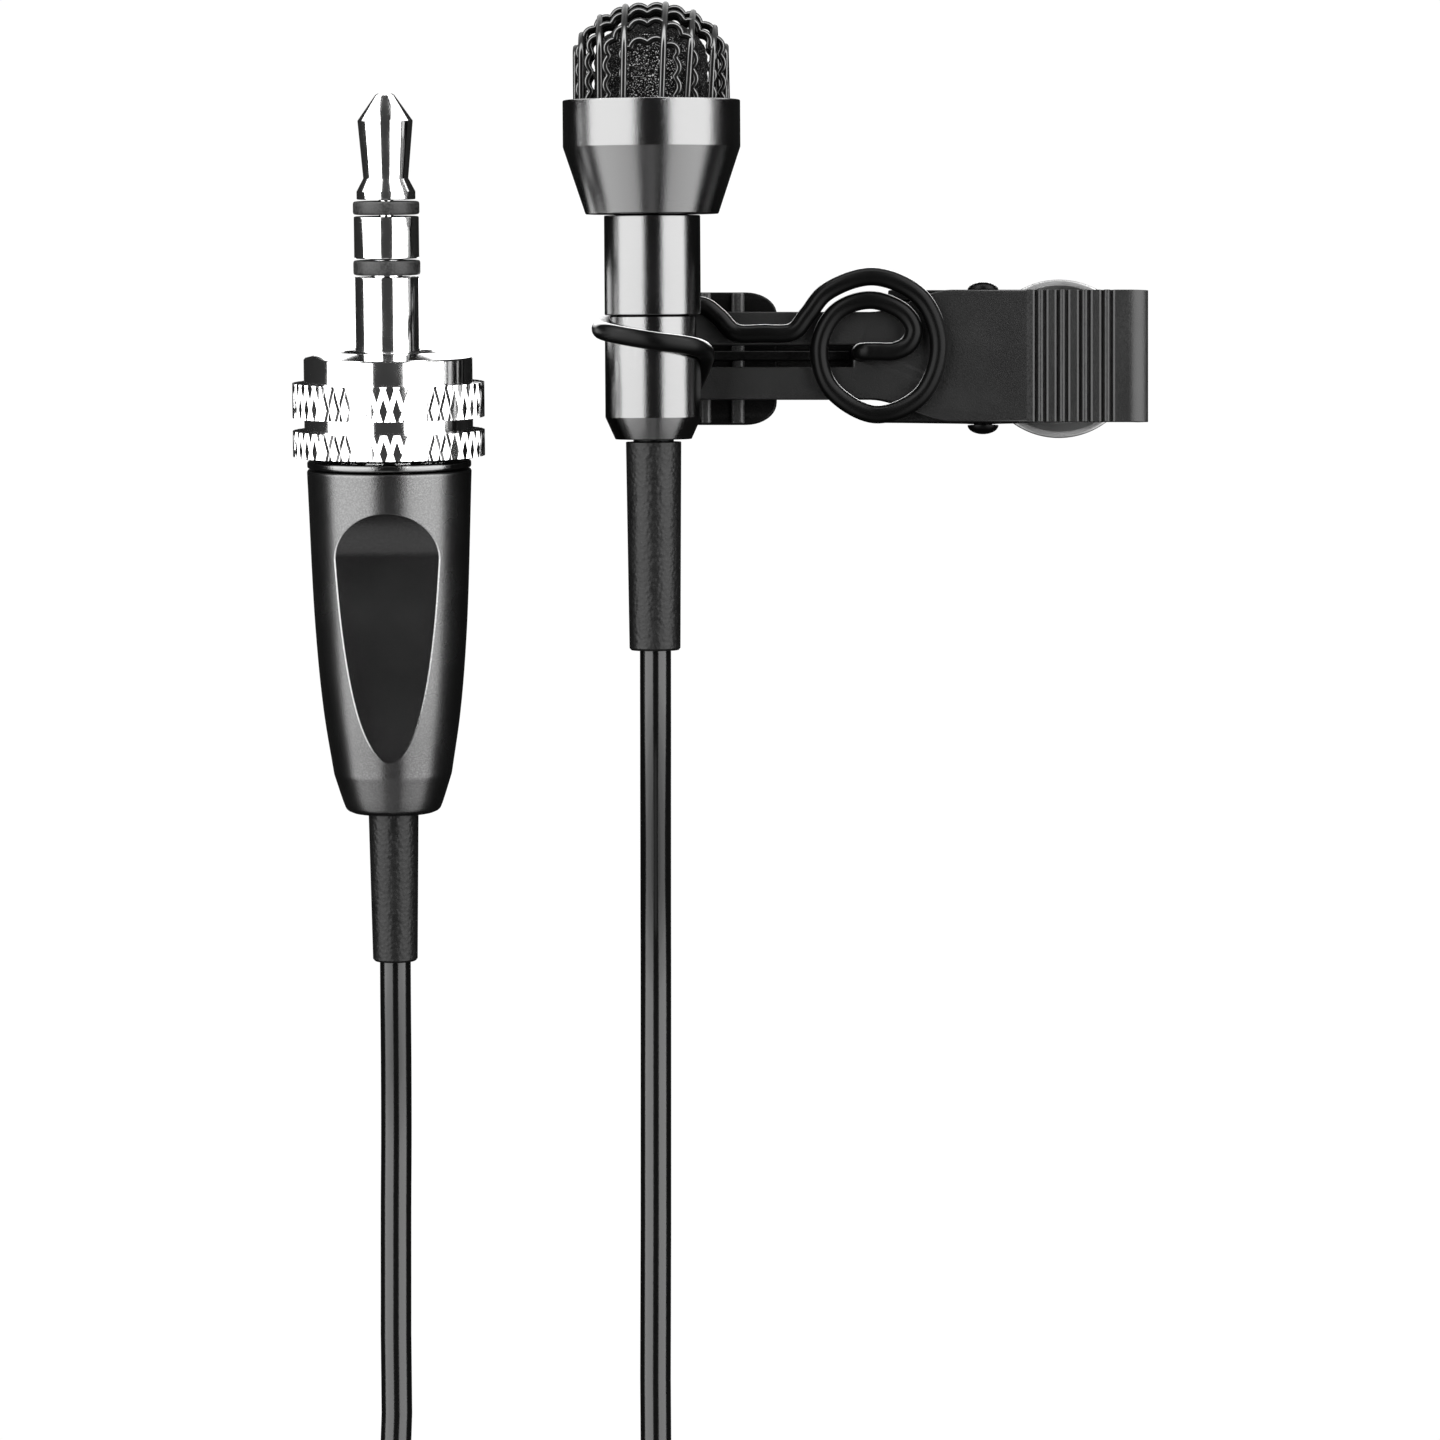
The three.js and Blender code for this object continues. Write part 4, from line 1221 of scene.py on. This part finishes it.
def addLockingRing():
    p = plug
    # rows of the section, bottom outside edge first: radius, height, rise of the diamonds
    rows = [(p["footBore"], p["footHeight"], None), (p["foot"], p["footHeight"], None),
            (p["knurlBase"] - 0.1, -1.42, None)]
    for low, high, count, widest in reversed(p["bands"]):
        rows += [(None, low + (high - low) * k / count, (k - widest) / p["diamondGrid"])
                 for k in range(count + 1)]
        if low < 0:
            rows += [(p["ringBody"], 0.06, None), (p["ringBody"], 0.66, None)]
    top = [(p["ringBody"], 2.66), (p["ringBody"], 3.87), (p["ringBody"] - 0.08, 3.96),
           (p["ringTopFlat"] + 0.05, p["ringTop"] - 0.02), (p["ringTopFlat"] - 0.1, p["ringTop"]),
           (p["ringMouth"] + 0.06, p["ringTop"]), (p["ringMouth"], p["ringTop"] - 0.07),
           (p["ringMouth"], p["mouthFloor"]), (p["shaftBore"], p["mouthFloor"]),
           (p["shaftBore"], p["seat"]), (p["footBore"], p["seat"])]
    rows += [(radius, y, None) for radius, y in top]
    sides = p["diamonds"] * p["diamondGrid"]
    verts = []

    def addPoint(radius, y, column):
        angle = 2 * math.pi * column / sides
        verts.append((radius * math.sin(angle), y, radius * math.cos(angle)))

    for radius, y, rise in rows:
        for k in range(sides):
            addPoint(radius or knurlRadius(k / p["diamondGrid"], rise), y, k)
    faces = []
    for i, (_, y, rise) in enumerate(rows):
        above = rows[(i + 1) % len(rows)]
        low, high = i * sides, (i + 1) % len(rows) * sides
        for k in range(sides):
            after = (k + 1) % sides
            square = [low + k, low + after, high + after, high + k]
            if rise is None or above[2] is None:
                faces.append(square)
                continue
            # four facets round a middle point follow the diamonds' edges
            middle = len(verts)
            step = 0.5 / p["diamondGrid"]
            addPoint(knurlRadius(k / p["diamondGrid"] + step, rise + step), (y + above[1]) / 2, k + 0.5)
            faces += [(a, b, middle) for a, b in zip(square, square[1:] + square[:1])]
    piece = addMesh("knurledRing", verts, faces, plugFrame)
    crispFaces(piece)
    return settle(piece, "lock", "nickel", "locking_ring")


barrel = {
    "outline": [(2.31, -21.0), (2.56, -20.83), (2.697, -20.54), (3.235, -18.88), (3.758, -15.39),
                (4.153, -10.81), (4.5, -2.15)],
    "crease": 3,                # the only point at which the outline bends sharply
    # inside: the wide bore, a narrower step, and the hole for the strain relief
    "bore": 2.9, "boreEnd": -13.0, "step": 2.4, "stepTop": -14.0, "stepEnd": -18.0, "reliefHole": 1.55,
    "endRounding": 0.06, "endReach": 0.07,
    "rows": 200, "sideColumns": 16, "backColumns": 160, "recessColumns": 32,
    "backEdge": 1.0,            # angle beyond which the columns run straight
    # a flat is milled into the face: its height above the axis at its foot, its rise towards the cable
    "flatHeight": 3.256, "flatRise": 0.0112,
    "recessFoot": -6.83, "recessTop": -4.27,
    "rim": 0.04,
}


def barrelCurve():
    points = [Vector((radius, y, 0)) for radius, y in barrel["outline"]]
    crease = barrel["crease"]
    return [*smoothPath(points[:crease + 1], 8)[:-1], *smoothPath(points[crease:], 24)]


def barrelRadius(curve, y):
    for low, high in zip(curve, curve[1:]):
        if y <= high.y:
            return low.x + (high.x - low.x) * (y - low.y) / (high.y - low.y)
    return curve[-1].x


# height of the recess above the axis: flat below its foot, then a cove that ends in a round arch
def recessHeight(curve, y):
    b = barrel
    if y <= b["recessFoot"]:
        return b["flatHeight"] + b["flatRise"] * (b["recessFoot"] - y)
    share = (y - b["recessFoot"]) / (b["recessTop"] - b["recessFoot"])
    if share > 1:
        return math.inf
    widest = barrelRadius(curve, b["recessFoot"]) ** 2 - b["flatHeight"] ** 2
    return math.sqrt(barrelRadius(curve, y) ** 2 - widest * (1 - share ** 2))


# rows of the mesh along the axis, closer together at both ends of the recess
def barrelHeights(curve):
    b = barrel
    low, high = curve[0].y, curve[-1].y
    even = [low + (high - low) * k / b["rows"] for k in range(b["rows"] + 1)]
    tip = next(y for y in even if recessHeight(curve, y) < barrelRadius(curve, y))
    cove = [b["recessTop"] - (b["recessTop"] - b["recessFoot"]) * (k / 24) ** 2 for k in range(25)]
    spread = [low]
    for y in sorted([*even, *cove, *(tip - 0.08 + 0.01 * k for k in range(9))]):
        if y - spread[-1] > 0.006:
            spread.append(y)
    return spread


def addBarrel():
    b = barrel
    curve = barrelCurve()
    heights = barrelHeights(curve)
    inside = [(b["bore"], heights[-1]), (b["bore"], b["boreEnd"]), (b["step"], b["stepTop"]),
              (b["step"], b["stepEnd"]), (b["reliefHole"], b["stepEnd"]), (b["reliefHole"], heights[0])]
    columns = b["recessColumns"] + 2 * b["sideColumns"] + b["backColumns"] + 2
    leastAngle = 0.005
    verts = []
    sunk = set()

    def addPoint(radius, y, angle):
        verts.append((radius * math.sin(angle), y, radius * math.cos(angle)))

    for i, y in enumerate(heights):
        nearEnd = min(y - heights[0], heights[-1] - y)
        outer = barrelRadius(curve, y) - b["endRounding"] * max(0.0, 1 - nearEnd / b["endReach"]) ** 2
        flat = min(recessHeight(curve, y), outer)
        half = math.acos(flat / outer)
        if half > 2 * leastAngle:
            sunk.add(i)
        edge = max(half - b["rim"] / outer, 0.4 * half, leastAngle)
        start = max(half, leastAngle) + b["rim"] / outer
        angles = [edge * (2 * k / b["recessColumns"] - 1) for k in range(b["recessColumns"] + 1)]
        for angle in angles:
            addPoint(min(flat / math.cos(angle), outer), y, angle)
        side = [start + (b["backEdge"] - start) * k / b["sideColumns"] for k in range(b["sideColumns"])]
        back = [b["backEdge"] + 2 * (math.pi - b["backEdge"]) * k / b["backColumns"]
                for k in range(b["backColumns"] + 1)]
        rest = [*side, *back, *(2 * math.pi - angle for angle in reversed(side))]
        for angle in rest:
            addPoint(outer, y, angle)
        angles += rest
    for radius, y in inside:
        for angle in angles:
            addPoint(radius, y, angle)
    total = len(heights) + len(inside)
    faces = []
    for i in range(total):
        first, second = i * columns, (i + 1) % total * columns
        for k in range(columns):
            after = (k + 1) % columns
            faces.append((first + k, first + after, second + after, second + k))
    piece = addMesh("gripBarrel", verts, faces, plugFrame)
    piece.data.materials.append(finishes["blastedMetal"])
    piece.data.materials.append(finishes["recessMetal"])
    piece.data.materials.append(finishes["rimHighlightMetal"])
    for polygon in piece.data.polygons:
        row, column = divmod(polygon.index, columns)
        if row in sunk and row + 1 in sunk:
            if column < b["recessColumns"]:
                polygon.material_index = 1
            elif column in (b["recessColumns"], columns - 1):
                # the rim columns take the lighter metal: a painted highlight line
                polygon.material_index = 2
                polygon.use_smooth = False
    evenNormals(piece)
    return settle(piece, "microphone", "black_metal", "grip_barrel")


def addPlugEnd():
    outer, inner, low, high = plug["collar"]
    relief = [(0, plug["reliefEnd"]), (1.13, plug["reliefEnd"]), (1.231, plug["reliefEnd"] + 0.12),
              *plug["relief"]]
    return [
        settle(turnPiece("barrelCollar", tubeOutline(outer, inner, low, high), plugFrame, 128, 0.12),
               "microphone", "black_metal", "retaining_collar"),
        settle(turnPiece("plugRelief", relief, plugFrame, 96, 0.05),
               "microphone", "rubber", "plug_strain_relief"),
    ]


plugPieces = [*addContacts(), addLockingRing(), addBarrel(), *addPlugEnd()]
print("plug built")

# tie round the wound cable, and the parts inside

tie = {"near": 5.15, "far": 14.45, "top": 6.75, "thickness": 0.2, "halfWidth": 1.3}


def addTie():
    t = tie
    centreX, centreY = cable["coilCentre"]
    across = Matrix(((0, 0, -1, centreX), (-1, 0, 0, centreY), (0, 1, 0, 0), (0, 0, 0, 1)))
    outside = boxOutline(t["near"] - t["thickness"], t["far"] + t["thickness"], 0, t["top"] + t["thickness"])
    inside = boxOutline(t["near"], t["far"], t["thickness"], t["top"])
    half = t["halfWidth"]
    band = platePiece("cableBand", [outside, inside], -half, half, clipFrame @ across, 0.05)
    return settle(band, "microphone", "rubber", "cable_tie")


innerFinish = {
    "capsule_felt": "foam", "electret_capsule": "nickel", "capsule_gasket": "rubber",
    "capsule_board": "board", "signal_lead": "copper", "ground_lead": "copper", "cable_crimp": "brass",
    "terminal_block": "black_plastic", "plug_signal_lead": "copper", "plug_ground_lead": "copper",
    "plug_cable_clamp": "brass",
}


def dressInside():
    for node, finish in innerFinish.items():
        mesh = bpy.data.objects[node].data
        mesh.materials.clear()
        mesh.materials.append(finishes[finish])


tiePiece = addTie()
dressInside()
